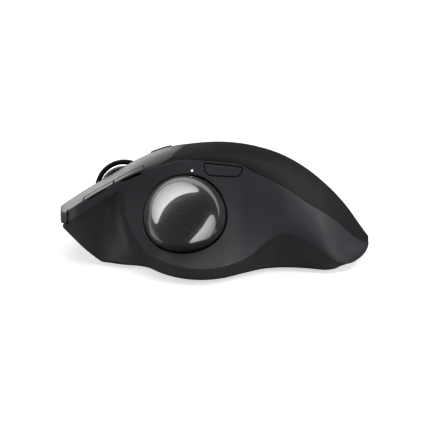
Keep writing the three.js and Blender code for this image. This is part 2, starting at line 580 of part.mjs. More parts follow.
// Cylinder along the wheel frame's X axis, for the side-tilt trunnions and their bores.
const trunnion = (radius, x0, x1) => solid(inWheelFrame(
  rod(radius, x0, x1, 12).rotateY(Math.PI / 2).translate(0, 0, -PIVOT_DROP)));

function makeCradle() {
  const cheeks = [-5.6, 4.4].map((y) => solid(inWheelFrame(boxSpan(-3.6, 3.6, y, y + 1.2, -14, 2.4))));
  const base = solid(inWheelFrame(boxSpan(-6, 6, -5.6, 5.6, -14.1, -13.1)));
  const pins = trunnion(0.9, -9.2, 9.2);
  const bore = solid(onAxle(rod(AXLE_RADIUS + 0.3, -8, 8, 16)));
  return cut(join(base, ...cheeks, pins), bore);
}

function makeLiftFrame() {
  const base = solid(inWheelFrame(boxSpan(-9.2, 9.2, -4.8, 4.8, -15.8, -14.8)));
  const ends = [-9.2, 7.4].map((x) => solid(inWheelFrame(boxSpan(x, x + 1.8, -3, 3, -15.8, -12))));
  return cut(join(base, ...ends), trunnion(1.25, -12, 12));
}

// ---------------------------------------------------------------- boards and chassis
function makeMainBoard() {
  const outline = [[-50, -13], [-32, -13], [-32, -5.5], [19.5, -5.5], [19.5, 26], [-18, 26], [-26, 25],
    [-50, 24]];
  const board = solid(prism(outline, BOARD_Z, BOARD_TOP));
  const chips = [[-16, 4, 7], [2, 14, 5]].map(([x, y, size]) => solid(
    boxSpan(x - size / 2, x + size / 2, y - size / 2, y + size / 2, BOARD_TOP - 0.4, BOARD_TOP + 0.9)));
  const holes = BOARD_SCREWS.map(([x, y]) => solid(rod(1.3, 0, 20, 10).translate(x, y, 0)));
  return cut(join(board, ...chips), ...holes);
}

function makeInnerFrame() {
  const outline = [[-30, -12.5], [-25.6, -12.5], [-22, -6.5], [27, -6.5], [27, 31], [-25, 32.5], [-24.6, 13],
    [-24.6, -2.5], [-30, -4]];
  const deck = solid(prism(outline, DECK_Z, DECK_Z + DECK_THICK));
  const legs = FRAME_LEGS.map(([x, y]) => solid(rod(3, 6.3, DECK_Z + 0.5, 12).translate(x, y, 0)));
  const arm = solid(boxSpan(1, 12, -9.6, -6, DECK_Z, DECK_Z + DECK_THICK));
  const mast = solid(boxSpan(1, 12, -9.6, -8, DECK_Z, 38));
  const peg = solid(rod(1.5, -6, -0.05, 8).applyMatrix4(thumbBoard));
  const pilots = FRAME_LEGS.map(([x, y]) => solid(rod(1.2, 4, 16, 10).translate(x, y, 0)));
  const windows = [[-8, 12], [14, 12]].map(([x, y]) => solid(boxSpan(x - 7, x + 7, y - 8, y + 12, 20, 35)));
  return cut(join(deck, arm, mast, peg, ...legs), ...pilots, ...windows);
}

// Tact or micro switch: a body with its plunger, in a local frame standing on z = 0.
function switchBody(length, width, height, plunger) {
  const body = solid(boxSpan(-length / 2, length / 2, -width / 2, width / 2, 0, height));
  return body.add(solid(rod(0.9, height - 0.5, height + plunger, 8)));
}
const moved = (body, x, y, z) => body.translate([x, y, z]);
const placed = (body, matrix) => solid(geometryOf(body).applyMatrix4(matrix));

function screw(headZ, tipZ, headUp) {
  const head = headUp ? rod(1.9, headZ, headZ + 1.1, 10) : rod(1.9, headZ - 1.1, headZ, 10);
  const inside = headUp ? headZ + 0.3 : headZ - 0.3;
  const shank = rod(0.85, Math.min(inside, tipZ), Math.max(inside, tipZ), 8);
  return join(solid(head), solid(shank));
}

function makeTiltPlate() {
  const sheet = solid(prism(roundedBar(-28, 50, -22, 31.4, 8), PLATE.bottom, PLATE.top));
  const tongue = solid(boxSpan(2, 18, 28, HINGE.y, PLATE.bottom, PLATE.top));
  const barrel = solid(rod(1.5, 2, 18, 14).rotateY(Math.PI / 2).translate(0, HINGE.y, HINGE.z));
  const bore = solid(rod(1.05, 0, 20, 14).rotateY(Math.PI / 2).translate(0, HINGE.y, HINGE.z));
  return cut(join(sheet, tongue, barrel), bore);
}

function makeHingeBracket() {
  const base = solid(boxSpan(-9, 29, HINGE_POCKET.y0 - 0.5, HINGE_POCKET.y1 + 1, 3.9, 5.4));
  const ears = [-4, 18.6].map((x) => solid(boxSpan(x, x + 5.4, HINGE.y - 1.6, HINGE.y + 1.6, 0.6, 4.5)));
  const bore = solid(rod(1.05, -8, 30, 14).rotateY(Math.PI / 2).translate(0, HINGE.y, HINGE.z));
  return cut(join(base, ...ears), bore);
}

// ---------------------------------------------------------------- materials
function material(color, roughness, metalness = 0) {
  return new THREE.MeshStandardMaterial({ color, roughness, metalness });
}
const looks = {
  graphite: () => material(0x34363a, 0.62),
  satin: () => material(0x5a5c60, 0.42),
  palm: () => material(0x2c2e30, 0.7),
  skirt: () => material(0x2a2c2e, 0.6),
  gloss: () => material(0x17181a, 0.25),
  pearl: () => material(0x8a8a8c, 0.22, 0.55),
  rubber: () => material(0x141414, 0.9),
  steel: () => material(0xb4b6b8, 0.32, 1),
  ruby: () => material(0xd8d4d0, 0.15),
  board: () => material(0x1d4a30, 0.55),
  black: () => material(0x101010, 0.5),
  nylon: () => material(0x3c3e42, 0.6),
  cell: () => material(0x9aa4ac, 0.45),
  light: () => material(0xf4f8ff, 0.2),
};

// ---------------------------------------------------------------- assembly
const part = new THREE.Group();
part.name = 'trackball_mouse';

function add(name, shape, look) {
  const geometry = shape.isBufferGeometry ? shape : geometryOf(shape);
  const mesh = new THREE.Mesh(geometry, looks[look]());
  mesh.name = name;
  part.add(mesh);
}

add('lower_shell', makeLowerShell(), 'skirt');
add('thumb_panel', makeThumbPanel(), 'graphite');
add('palm_cover', makePalmCover(), 'palm');
add('left_button', makeLeftButton(), 'satin');
add('right_button', makeRightButton(), 'satin');
add('scroll_bezel', makeScrollBezel(), 'gloss');
Object.entries(SIDE_KEYS).forEach(([name, span]) => add(name, makeSideKey(span), 'satin'));
add('mode_button', makeModeButton(), 'gloss');

const precisionCap = wallPatch(columns([[-7, 5], [14, 0]]), blend(fixed(1.7), fixed(1.99)), shares(4))
  .intersect(solid(prism(precisionOutline(0), -6, 4).applyMatrix4(precisionFrame)));
const precisionStem = solid(rod(0.8, -4, -1, 8).applyMatrix4(precisionFrame));
add('precision_button', precisionCap.add(precisionStem), 'graphite');

const ball = new THREE.SphereGeometry(BALL.radius, 24, 16).rotateX(Math.PI / 2);
add('trackball', ball.applyMatrix4(aroundBall(BALL_AXIS)), 'pearl');
add('ball_cup', makeBallCup(), 'black');
bearingDirections().forEach((direction, k) => {
  const bead = new THREE.SphereGeometry(BEARING_RADIUS, 10, 6);
  add(`ball_bearing_${k + 1}`, bead.translate(...bearingCentre(direction).toArray()), 'ruby');
});
add('sensor_lens', rod(3.8, 20.3, 21.6, 16).applyMatrix4(aroundBall(SENSOR_AXIS)), 'light');
add('ball_sensor', boxSpan(-5, 5, -4.5, 4.5, 21.9, 24.3).applyMatrix4(aroundBall(SENSOR_AXIS)), 'black');
add('sensor_board', boxSpan(-8, 8, -6, 6, 24.4, 25.4).applyMatrix4(aroundBall(SENSOR_AXIS)), 'board');

add('wheel_tyre', onAxle(ring(WHEEL.radius, TYRE_INNER, WHEEL.width / 2, 36)), 'rubber');
add('wheel_rim', onAxle(ring(TYRE_INNER - 0.1, AXLE_RADIUS + 0.25, WHEEL.width / 2 - 0.3, 36)), 'steel');
add('wheel_axle', onAxle(rod(AXLE_RADIUS, -6.6, 6.6, 12)), 'steel');
add('wheel_cradle', makeCradle(), 'nylon');
add('wheel_encoder', inWheelFrame(boxSpan(-3.4, 4, 6.9, 8.9, -4, 3.6)), 'black');
add('wheel_lift_frame', makeLiftFrame(), 'nylon');
add('wheel_press_switch', moved(switchBody(6, 3.4, 2.2, 0.3), -39, -2.2, BOARD_TOP), 'black');

add('main_board', makeMainBoard(), 'board');
add('inner_frame', makeInnerFrame(), 'nylon');
Object.entries(CLICK_SWITCHES).forEach(([name, [x, y]]) => {
  add(name, moved(switchBody(12.8, 5.8, 6.5, 0.8), x, y, BOARD_TOP), 'black');
});
add('mode_switch', moved(switchBody(5.8, 5.8, 3.6, 0.4), -21.5, 6.6, DECK_Z + DECK_THICK), 'black');
Object.entries(SIDE_KEYS).forEach(([name, [x0, x1]]) => {
  const middle = (x0 + x1) / 2;
  const foot = guide('crease', middle).z - SIDE_SWITCH_DROP - 2.8;
  const body = moved(switchBody(4.4, 2.8, 2.5, 0.3), middle, KEY_STEM_Y + 1.1, foot);
  add(name.replace('button', 'switch'), body, 'black');
});
add('thumb_board', boxSpan(-6.8, 8, -3.4, 3.4, 0, 1).applyMatrix4(thumbBoard), 'board');
add('precision_switch', placed(moved(switchBody(5.6, 4.6, 2.8, 0.3), 0, 0, 1.02), thumbBoard), 'black');
add('status_led', rod(0.6, -4, -0.15, 8).applyMatrix4(surfaceFrame(LED.x, LED.v)), 'light');

const portShell = boxSpan(PORT.x0, PORT.x1, PORT.y0, PORT.y1, PORT.z0, PORT.z1);
const portMouth = boxSpan(
  PORT.x0 - 1, PORT.x1 - 1, PORT.y0 + 0.4, PORT.y1 - 0.4, PORT.z0 + 0.4, PORT.z1 - 0.4);
add('charging_port', cut(solid(portShell), solid(portMouth)), 'steel');
add('battery', prism(roundedBar(29, 55, -8, 18, 2), 5, 10.4), 'cell');
const leadPoints = [[28.3, 5, 8.2], [25.5, 6, 10.5], [20, 8, 11.2], [14, 10, 9.9]];
const extrudePath = new THREE.CatmullRomCurve3(leadPoints.map((p) => new THREE.Vector3(...p)));
const leadShape = new THREE.Shape().absarc(0, 0, 0.6, 0, Math.PI * 2, false);
const leadSweep = { steps: 10, curveSegments: 3, extrudePath };
add('battery_lead', new THREE.ExtrudeGeometry(leadShape, leadSweep), 'rubber');
const { x0: slotFront, x1: slotRear, y0: slotLeft, y1: slotRight } = SWITCH_SLOT;
const slider = boxSpan(slotFront + 0.4, slotRear - 3.6, slotLeft + 0.4, slotRight - 0.4, 1, 5);
const sliderFlange = boxSpan(slotFront - 1, slotRear - 2, slotLeft - 1, slotRight + 1, 3.9, 5);
add('power_switch', join(solid(slider), solid(sliderFlange)), 'black');

add('tilt_plate', makeTiltPlate(), 'steel');
add('plate_hinge_pin', rod(0.75, -4, 24, 12).rotateY(Math.PI / 2).translate(0, HINGE.y, HINGE.z), 'steel');
add('plate_hinge_bracket', makeHingeBracket(), 'nylon');
add('plate_pad', prism(roundedBar(-26, 48, -20, 29.4, 7), 0, PLATE.bottom), 'rubber');
[[20, -14], [4, 20]].forEach(([x, y], k) => {
  add(`plate_magnet_${k + 1}`, rod(4.5, 3.8, 5.4, 16).translate(x, y, 0), 'steel');
});
BOARD_SCREWS.forEach(([x, y], k) => {
  add(`board_screw_${k + 1}`, moved(screw(BOARD_TOP + 0.05, 5, true), x, y, 0), 'steel');
});
FRAME_LEGS.forEach(([x, y], k) => {
  add(`frame_screw_${k + 1}`, moved(screw(2.85, 14, false), x, y, 0), 'steel');
});

export default part;
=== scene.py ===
"""Looks of a thumb-operated trackball mouse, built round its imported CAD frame.

The body's form is one skin, worked out in millimetres from guide curves that run nose to tail.
A point of the skin has two coordinates. u follows X and slows down round the nose and tail. v runs round
the section: 0 left floor, 1 shelf edge, 2 crease, 3 ridge, 4 right edge, 5 right floor, and 6 is the left
floor again. Each shell piece is a patch of that skin with rounded edges and a wall.
"""

import json
import math

import bmesh
import bpy
import numpy as np
from mathutils import Matrix, Vector
from mathutils.geometry import delaunay_2d_cdt
from mathutils.kdtree import KDTree


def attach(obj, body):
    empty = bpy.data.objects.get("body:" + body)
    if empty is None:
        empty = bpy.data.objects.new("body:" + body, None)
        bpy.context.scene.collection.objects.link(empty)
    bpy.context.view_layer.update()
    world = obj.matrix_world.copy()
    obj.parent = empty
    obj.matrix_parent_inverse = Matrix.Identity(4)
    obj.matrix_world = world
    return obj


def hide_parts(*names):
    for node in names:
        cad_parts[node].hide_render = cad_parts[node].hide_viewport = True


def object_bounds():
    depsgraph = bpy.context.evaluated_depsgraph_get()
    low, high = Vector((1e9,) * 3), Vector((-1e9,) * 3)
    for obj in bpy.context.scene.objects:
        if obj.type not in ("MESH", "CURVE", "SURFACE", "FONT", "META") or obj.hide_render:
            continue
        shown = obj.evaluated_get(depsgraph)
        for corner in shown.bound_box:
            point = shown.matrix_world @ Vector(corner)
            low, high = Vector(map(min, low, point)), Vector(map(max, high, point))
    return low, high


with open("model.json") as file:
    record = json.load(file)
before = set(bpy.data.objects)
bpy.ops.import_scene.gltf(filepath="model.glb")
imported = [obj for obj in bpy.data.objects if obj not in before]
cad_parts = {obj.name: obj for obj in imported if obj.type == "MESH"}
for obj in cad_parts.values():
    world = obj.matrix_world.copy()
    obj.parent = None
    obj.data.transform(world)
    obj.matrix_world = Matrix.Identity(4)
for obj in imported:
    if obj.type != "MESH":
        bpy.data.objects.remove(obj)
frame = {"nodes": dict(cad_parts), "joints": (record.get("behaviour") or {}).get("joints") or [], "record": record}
cad_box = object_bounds()

MM = 0.001
QUARTER = math.pi / 2

# ---------------- the skin's guide curves
NOSE_X, TAIL_X = cad_box[0].x / MM, cad_box[1].x / MM
NOSE_ROUND_X, TAIL_ROUND_X = -56.0, 44.0  # the plan rounding of each end starts here
NOSE_SPAN, TAIL_SPAN = NOSE_ROUND_X - NOSE_X, TAIL_X - TAIL_ROUND_X
NOSE_MIDDLE_Y, TAIL_MIDDLE_Y = 2.0, 3.0
NOSE_POWER = 2.3
FLOOR_Z = 1.5
CANT = math.radians(15)
U_NOSE = NOSE_ROUND_X - NOSE_SPAN * QUARTER
U_TAIL = TAIL_ROUND_X + TAIL_SPAN * QUARTER
GUIDES = {
    "left_floor": [(-66.3, -14, 14.3), (-63, -14.5, 13.1), (-60.5, -15, 11.5), (-54, -17, 6.2),
        (-47.4, -17.8, 1.5), (-38.6, -21.7, 1.5), (-31, -24, 1.5), (-28, -26, 1.5), (-22.5, -33.8, 1.5),
        (-16, -40.2, 1.5), (-7, -43.8, 1.5), (3, -41.3, 1.5), (12, -33.8, 1.5), (20, -27.8, 1.5),
        (28, -25.8, 1.5), (38, -27, 1.5), (46, -29.5, 1.5), (56, -28, 2.2), (66.2, -26, 4)],
    "shelf_edge": [(-66.3, -21, 15.6), (-60.9, -21, 19.6), (-52.2, -21, 25.5), (-43.8, -21, 30.7),
        (-40.5, -21.2, 32.2), (-37.8, -23, 24.8), (-35.8, -26, 20.2), (-33.2, -30, 16.4),
        (-30.3, -34.5, 13.2), (-23.4, -42, 10), (-14.7, -47, 8.2), (-6, -48.3, 7.3), (2, -46, 7.5),
        (13.8, -36.5, 9.3), (22, -31, 14.5), (28, -29, 16.9), (33.9, -29.5, 15.5), (41.7, -31, 11.4),
        (49, -31.5, 6.1), (54.2, -31.5, 3.6), (61.1, -31.5, 3.8), (66.2, -31.5, 5.2)],
    "crease": [(-66.3, -20, 20.2), (-60, -20, 25.2), (-52.2, -20, 30.4), (-43.8, -20, 35.2),
        (-35.4, -20, 39.7), (-22.9, -19, 44.6), (-14.6, -18, 46.9), (-6.3, -18, 48.2), (2, -18, 48.6),
        (10.3, -18, 47.3), (18.6, -18, 44.7), (27, -18, 40), (35.4, -18, 34), (43.9, -18, 27.1),
        (52.4, -17, 19), (60, -15, 11.2), (66.2, -14, 5.6)],
    "ridge": [(-66.3, -2, 21), (-64.4, -1, 22.6), (-60.7, 0, 25.1), (-57, 1, 27.4), (-52.2, 2, 30.1),
        (-45.8, 3, 33.7), (-40, 3, 37.2), (-35.8, 3, 39.8), (-30.5, 4, 42.4), (-20.2, 5, 46.1),
        (-9.9, 5, 47.8), (3.8, 5, 48.5), (17.5, 5, 46.6), (31.2, 5, 41.7), (45, 5, 32.2), (57.2, 4, 19.6),
        (62.3, 4, 12.4), (66.2, 3, 7.2)],
    "right_edge": [(-66.3, 29, 15.8), (-56, 31, 15.8), (-40, 36, 16), (-20, 43, 16), (0, 48, 15.5),
        (15, 50, 14.5), (30, 49.5, 12.5), (44, 46, 9.5), (56, 43, 6.5), (66.2, 41, 5.2)],
    "right_floor": [(-66.3, 24, 14.3), (-63, 24.5, 13.1), (-60.5, 25, 11.5), (-54, 27, 6.2),
        (-47.4, 29, 1.5), (-30, 34, 1.5), (-10, 41, 1.5), (10, 45, 1.5), (30, 44.5, 1.5), (44, 41, 1.5),
        (56, 37, 2.2), (66.2, 35, 4)],
}
# x, slope of the thumb surface at the shelf edge and at the crease in degrees, and the crease radius
THUMB_SHAPE = [(-66.3, 84, 80, 0.8), (-43, 84, 84, 0.8), (-38, 68, 83, 1.1), (-33, 50, 80, 1.4),
    (-26, 40, 74, 1.7), (-8, 36, 66, 2.2), (10, 42, 68, 3.2), (20, 58, 66, 5.2), (28, 68, 60, 7),
    (36, 74, 52, 9), (46, 82, 46, 10), (56, 84, 44, 7), (66.2, 85, 44, 1.5)]
# x and height of the seam between thumb panel and palm cover
PALM_SEAM = [(-29, 42.4), (-23, 44.5), (-12, 46.2), (-4, 45.9), (4, 45.3), (11, 44.1), (14.5, 42),
    (22.9, 37.9), (31.1, 33.3), (39.5, 27.5), (48.2, 21.7), (53, 17.4), (60, 10.4), (66.2, 5.5)]
# y and x of the rear seam of the main buttons, seen from above
BUTTON_SEAM = [(-30, -30.5), (-20.4, -27.5), (-18.7, -22.9), (-16, -18.8), (-11.5, -16.6), (-6, -14),
    (0, -11.6), (8, -10.8), (17, -12), (27, -16), (36, -22), (46, -28), (62, -36)]


def cubic(rows, x):
    """Smooth curve through rows of (x, values...), read at each x."""
    table = np.array(rows, float)
    at, value = table[:, 0], table[:, 1:]
    gap = np.diff(at)
    rise = np.diff(value, axis=0) / gap[:, None]
    inner = (rise[:-1] * gap[1:, None] + rise[1:] * gap[:-1, None]) / (gap[:-1] + gap[1:])[:, None]
    slope = np.vstack([rise[:1], inner, rise[-1:]])
    i = np.clip(np.searchsorted(at, x) - 1, 0, len(gap) - 1)
    t = np.clip((x - at[i]) / gap[i], 0, 1)[:, None]
    width = gap[i][:, None]
    return ((2 * t**3 - 3 * t**2 + 1) * value[i] + (t**3 - 2 * t**2 + t) * width * slope[i]
            + (3 * t**2 - 2 * t**3) * value[i + 1] + (t**3 - t**2) * width * slope[i + 1])


def tail_turn(u):
    return np.clip((u - TAIL_ROUND_X) / TAIL_SPAN, 0, QUARTER)


def nose_turn(u):
    return np.clip((NOSE_ROUND_X - u) / NOSE_SPAN, 0, QUARTER)


def x_of(u):
    straight = np.clip(u, NOSE_ROUND_X, TAIL_ROUND_X)
    return straight + TAIL_SPAN * np.sin(tail_turn(u)) - NOSE_SPAN * np.sin(nose_turn(u))


def u_of(x):
    straight = np.clip(x, NOSE_ROUND_X, TAIL_ROUND_X)
    tail = np.arcsin(np.clip((x - TAIL_ROUND_X) / TAIL_SPAN, 0, 1))
    nose = np.arcsin(np.clip((NOSE_ROUND_X - x) / NOSE_SPAN, 0, 1))
    return straight + TAIL_SPAN * tail - NOSE_SPAN * nose


def guide(name, u):
    """Points of a guide curve, squeezed in plan at the rounded nose and tail."""
    x = x_of(u)
    y, z = cubic(GUIDES[name], x).T
    y = TAIL_MIDDLE_Y + (y - TAIL_MIDDLE_Y) * np.cos(tail_turn(u))
    nose = np.clip(1 - np.sin(nose_turn(u))**NOSE_POWER, 0, 1) ** (1 / NOSE_POWER)
    y = NOSE_MIDDLE_Y + (y - NOSE_MIDDLE_Y) * nose
    return np.stack([x, y, np.maximum(z, FLOOR_Z) if "floor" in name else z], 1)


def bezier(a, b, c, d, t):
    t = t[:, None]
    return (1 - t)**3 * a + 3 * (1 - t)**2 * t * b + 3 * (1 - t) * t**2 * c + t**3 * d


def quadratic(a, b, c, t):
    return (1 - t)**2 * a + 2 * (1 - t) * t * b + t**2 * c


def smooth(t):
    t = np.clip(t, 0, 1)
    return t * t * (3 - 2 * t)


def heading(degrees):
    angle = np.radians(degrees)
    return np.stack([0 * angle, np.cos(angle), np.sin(angle)], 1)


def apart(a, b):
    return np.linalg.norm(b - a, axis=1)


def left_skirt(a, b, x, t):
    span = apart(a, b)
    depth = np.clip((b[:, 2] - a[:, 2]) / 14, 0, 1)
    rise = heading(90 - 12 * depth) * (0.34 * span)[:, None]
    tuck = heading(160 - 28 * depth) * (0.3 * span)[:, None]
    return bezier(a, a + rise, b - tuck, b, t)


def thumb_side(a, b, x, t):
    span = 0.33 * apart(a, b)[:, None]
    low, high = cubic(THUMB_SHAPE, x).T[:2]
    return bezier(a, a + heading(low) * span, b - heading(high) * span, b, t)


def top_left(a, b, x, t):
    span = 0.36 * apart(a, b)[:, None]
    base = np.degrees(np.arctan2(b[:, 2] - a[:, 2], b[:, 1] - a[:, 1]))
    cant = math.degrees(CANT)
    return bezier(a, a + heading(base + (base + cant) * 0.55) * span, b - heading(0 * x - cant) * span, b, t)


def top_right(a, b, x, t):
    out = 0.55 * (b[:, 1] - a[:, 1])
    drop = 0.52 * (a[:, 2] - b[:, 2])
    c = a + np.stack([0 * x, out, -out * math.tan(CANT)], 1)
    return bezier(a, c, b + np.stack([0 * x, -0.14 * drop, drop], 1), b, t)


def right_skirt(a, b, x, t):
    span = 0.35 * apart(a, b)[:, None]
    return bezier(a, a + heading(0 * x - 96) * span, b - heading(0 * x - 108) * span, b, t)


def floor_span(a, b, x, t):
    return a + (b - a) * t[:, None]


# each runs from its guide curve to the next, in the order of GUIDES
STRETCHES = [left_skirt, thumb_side, top_left, top_right, right_skirt, floor_span]


def skin(u, v):
    """Points of the outer skin in millimetres, one for each u and v."""
    u, v = np.broadcast_arrays(np.asarray(u, float).ravel(), np.asarray(v, float).ravel())
    v = np.where(v >= 6, v - 6, v)
    x = x_of(u)
    lines = [guide(name, u) for name in GUIDES]
    out = np.zeros((len(u), 3))
    stretch = np.clip(np.floor(v), 0, 5).astype(int)
    for k, shape in enumerate(STRETCHES):
        here = stretch == k
        if here.any():
            out[here] = shape(lines[k][here], lines[(k + 1) % 6][here], x[here], v[here] - k)
    shelf, crease, ridge = lines[1:4]
    radius = cubic(THUMB_SHAPE, x)[:, 2]
    below = np.minimum(0.45, radius / np.maximum(0.01, apart(crease, shelf)))
    above = np.minimum(0.45, radius / np.maximum(0.01, apart(crease, ridge)))
    here = (v > 2 - below) & (v < 2 + above)
    if here.any():
        low = thumb_side(shelf[here], crease[here], x[here], 1 - below[here])
        high = top_left(crease[here], ridge[here], x[here], above[here])
        t = ((v - 2 + below) / (below + above))[here][:, None]
        out[here] = quadratic(low, crease[here], high, t)
    return out


def partials(u, v, side=None):
    """Tangents of the skin along u and v. Side -1 or +1 keeps to one side of a corner line."""
    du, dv = 0.02, 0.004
    if side is None:
        line = np.round(v)
        side = np.where((np.abs(v - line) < dv) & ((line <= 1) | (line >= 4)), np.sign(v - line), 0)
    u0, u1 = np.maximum(u - du, U_NOSE), np.minimum(u + du, U_TAIL)
    v0 = v - dv * (np.asarray(side) <= 0)
    v1 = v + dv * (np.asarray(side) >= 0)
    middle = (v0 + v1) / 2
    along = (skin(u1, middle) - skin(u0, middle)) / (u1 - u0)[:, None]
    around = (skin(u, v1) - skin(u, v0)) / (v1 - v0)[:, None]
    return along, around


def unit(vectors):
    return vectors / np.maximum(np.linalg.norm(vectors, axis=1), 1e-12)[:, None]


def normals(u, v, side=None):
    out = unit(np.cross(*partials(u, v, side)))
    out[u > U_TAIL - 0.01] = (1, 0, 0)
    out[u < U_NOSE + 0.01] = (-1, 0, 0)
    return out


CORNER_REACH = 4.0  # a wall turns into its mitre within this distance of a corner line
THIN_REACH, END_WALL = 12.0, 0.4  # walls thin to this share at the nose and tail


def inward(u, v, wall):
    """From the skin to the inside of a wall, mitred beside the skin's corner lines."""
    corners = np.array([1, 2, 4, 5, 6, 7.0])
    corner = corners[np.argmin(np.abs(corners[None, :] - v[:, None]), axis=1)]
    away = apart(skin(u, v), skin(u, corner))
    side = np.where(corner > v, 1.0, -1.0)
    own = normals(u, v, -side)
    low, high = normals(u, corner, -1 + 0 * u), normals(u, corner, 1 + 0 * u)
    mitre = unit(low + high)
    turn = (1 - smooth(away / CORNER_REACH))[:, None]
    ends = np.clip(np.minimum(u - U_NOSE, U_TAIL - u) / THIN_REACH, 0, 1)
    depth = (wall * (END_WALL + (1 - END_WALL) * ends))[:, None]
    long_way = depth / np.maximum(0.5, np.sum(mitre * low, axis=1))[:, None]
    return -own * depth * (1 - turn) - mitre * long_way * turn


# ---------------- places on the skin
def slide_over(u, v, move):
    """u and v after a move over the skin by 3-D vectors."""
    target = skin(u, v) + move
    for _ in range(4):
        error = target - skin(u, v)
        along, around = partials(u, v)
        a, b, c = np.sum(along**2, 1), np.sum(along * around, 1), np.sum(around**2, 1)
        p, q = np.sum(along * error, 1), np.sum(around * error, 1)
        det = np.maximum(a * c - b * b, 1e-3)
        u = np.clip(u + np.clip((p * c - q * b) / det, -0.6, 0.6), U_NOSE, U_TAIL)
        v = v + np.clip((q * a - p * b) / det, -0.05, 0.05)
    return u, v


def beside(u, v, distance):
    """v moved round the section by a distance in millimetres."""
    clear = np.clip(u, U_NOSE + 3, U_TAIL - 3)
    dv = 0.01
    return v + distance * dv / np.maximum(apart(skin(clear, v), skin(clear, v + dv)), 1e-5)


def v_where(u, along, value, low, high):
    """v between low and high where the skin's distance along a direction rises to a value."""
    low, high = np.full(len(u), float(low)), np.full(len(u), float(high))
    for _ in range(26):
        middle = (low + high) / 2
        short = skin(u, middle) @ np.asarray(along) < value
        low, high = np.where(short, middle, low), np.where(short, high, middle)
    return (low + high) / 2


def thumb_top(u):
    """v of the upper edge of the thumb panel."""
    x = x_of(u)
    seam = v_where(u, (0, 0, 1), cubic(PALM_SEAM, x)[:, 0], 1.2, 2.2)
    return np.where(x < PALM_SEAM[0][0], 2.0, np.minimum(2.0, seam))


def button_seam(v, distance=0.0):
    """u of the rear seam of the main buttons at each v, moved towards the tail by a distance."""
    u = np.full(len(v), -15.0)
    for _ in range(30):
        u = cubic(BUTTON_SEAM, skin(u, v)[:, 1])[:, 0] + distance
    return u


def find(targets, plane, region):
    """u and v where the skin passes over 2-D targets of a plane (origin, across, along)."""
    origin, across, along = (np.array(p, float) for p in plane)
    axes = np.stack([across, along], 1)
    u0, u1, v0, v1 = region
    gu, gv = (a.ravel() for a in np.meshgrid(np.linspace(u0, u1, 70), np.linspace(v0, v1, 70)))
    table = (skin(gu, gv) - origin) @ axes
    targets = np.asarray(targets, float)
    nearest = [int(np.argmin(np.sum((table - p)**2, 1))) for p in targets]
    u, v = gu[nearest], gv[nearest]
    for _ in range(12):
        error = targets - (skin(u, v) - origin) @ axes
        su, sv = partials(u, v)
        su, sv = su @ axes, sv @ axes
        det = su[:, 0] * sv[:, 1] - su[:, 1] * sv[:, 0]
        det = np.where(np.abs(det) < 1e-4, 1e-4, det)
        u = u + np.clip((error[:, 0] * sv[:, 1] - error[:, 1] * sv[:, 0]) / det, -3, 3)
        v = v + np.clip((su[:, 0] * error[:, 1] - su[:, 1] * error[:, 0]) / det, -0.1, 0.1)
        u = np.clip(u, U_NOSE, U_TAIL)
    return np.stack([u, v], 1)


# ---------------- outlines of panels
def run_length(path):
    points = skin(*path.T)
    return np.concatenate([[0], np.cumsum(apart(points[:-1], points[1:]))])


def between(path, start, end, step):
    """The stretch of a path from start to end millimetres along it, in even steps."""
    length = run_length(path)
    count = max(2, int(math.ceil((end - start) / step)) + 1)
    at = np.linspace(start, end, count)
    return np.stack([np.interp(at, length, side) for side in path.T], 1)


def ring(edges, radii, step=0.6):
    """Closed loop of edges, each a path of (u, v), with its corners rounded. radii[k] is after edge k."""
    edges = [between(e, 0, run_length(e)[-1], step / 2) for e in edges]
    lengths = [run_length(e)[-1] for e in edges]
    count = len(edges)
    trims = [min(radii[k], 0.45 * lengths[k], 0.45 * lengths[(k + 1) % count]) for k in range(count)]
    loop = []
    for k, edge in enumerate(edges):
        start, end = trims[k - 1], lengths[k] - trims[k]
        piece = between(edge, start, end, step)
        loop.extend(piece if trims[k] > 0 else piece[:-1])
        if trims[k] > 0:
            after = edges[(k + 1) % count]
            first, last = piece[-1], between(after, trims[k], lengths[(k + 1) % count], step)[0]
            corner = (edge[-1] + after[0]) / 2
            loop.extend(quadratic(first, corner, last, t) for t in np.linspace(0, 1, 7)[1:-1])
    return np.array(loop)


def rounded(points, radius, closed=True, arc_points=7):
    """2-D outline with each corner replaced by an arc. The ends of an open one stay."""
    points = np.asarray(points, float)
    radii = np.broadcast_to(radius, len(points))
    out = []
    for k, p in enumerate(points):
        if not closed and k in (0, len(points) - 1):
            out.append(p)
            continue
        a, b = points[k - 1] - p, points[(k + 1) % len(points)] - p
        la, lb = np.linalg.norm(a), np.linalg.norm(b)
        a, b = a / la, b / lb
        half = math.acos(max(-1, min(1, float(a @ b)))) / 2
        back = min(radii[k] / math.tan(half), 0.49 * la, 0.49 * lb)
        centre = p + (a + b) / np.linalg.norm(a + b) * back / math.cos(half)
        first, last = p + a * back - centre, p + b * back - centre
        start = math.atan2(first[1], first[0])
        turn = (math.atan2(last[1], last[0]) - start + math.pi) % (2 * math.pi) - math.pi
        for angle in start + turn * np.linspace(0, 1, arc_points):
            out.append(centre + np.linalg.norm(first) * np.array([math.cos(angle), math.sin(angle)]))
    return np.array(out)


def bar(x0, x1, y0, y1):
    return [(x0, y0), (x1, y0), (x1, y1), (x0, y1)]


def dense(points, step, closed=True):
    """2-D points with more of them along the straight stretches."""
    points = np.asarray(points, float)
    ends = np.roll(points, -1, axis=0) if closed else points[1:]
    out = []
    for a, b in zip(points, ends):
        count = max(1, int(math.ceil(np.linalg.norm(b - a) / step)))
        out.extend(a + (b - a) * k / count for k in range(count))
    if not closed:
        out.append(points[-1])
    return np.array(out)


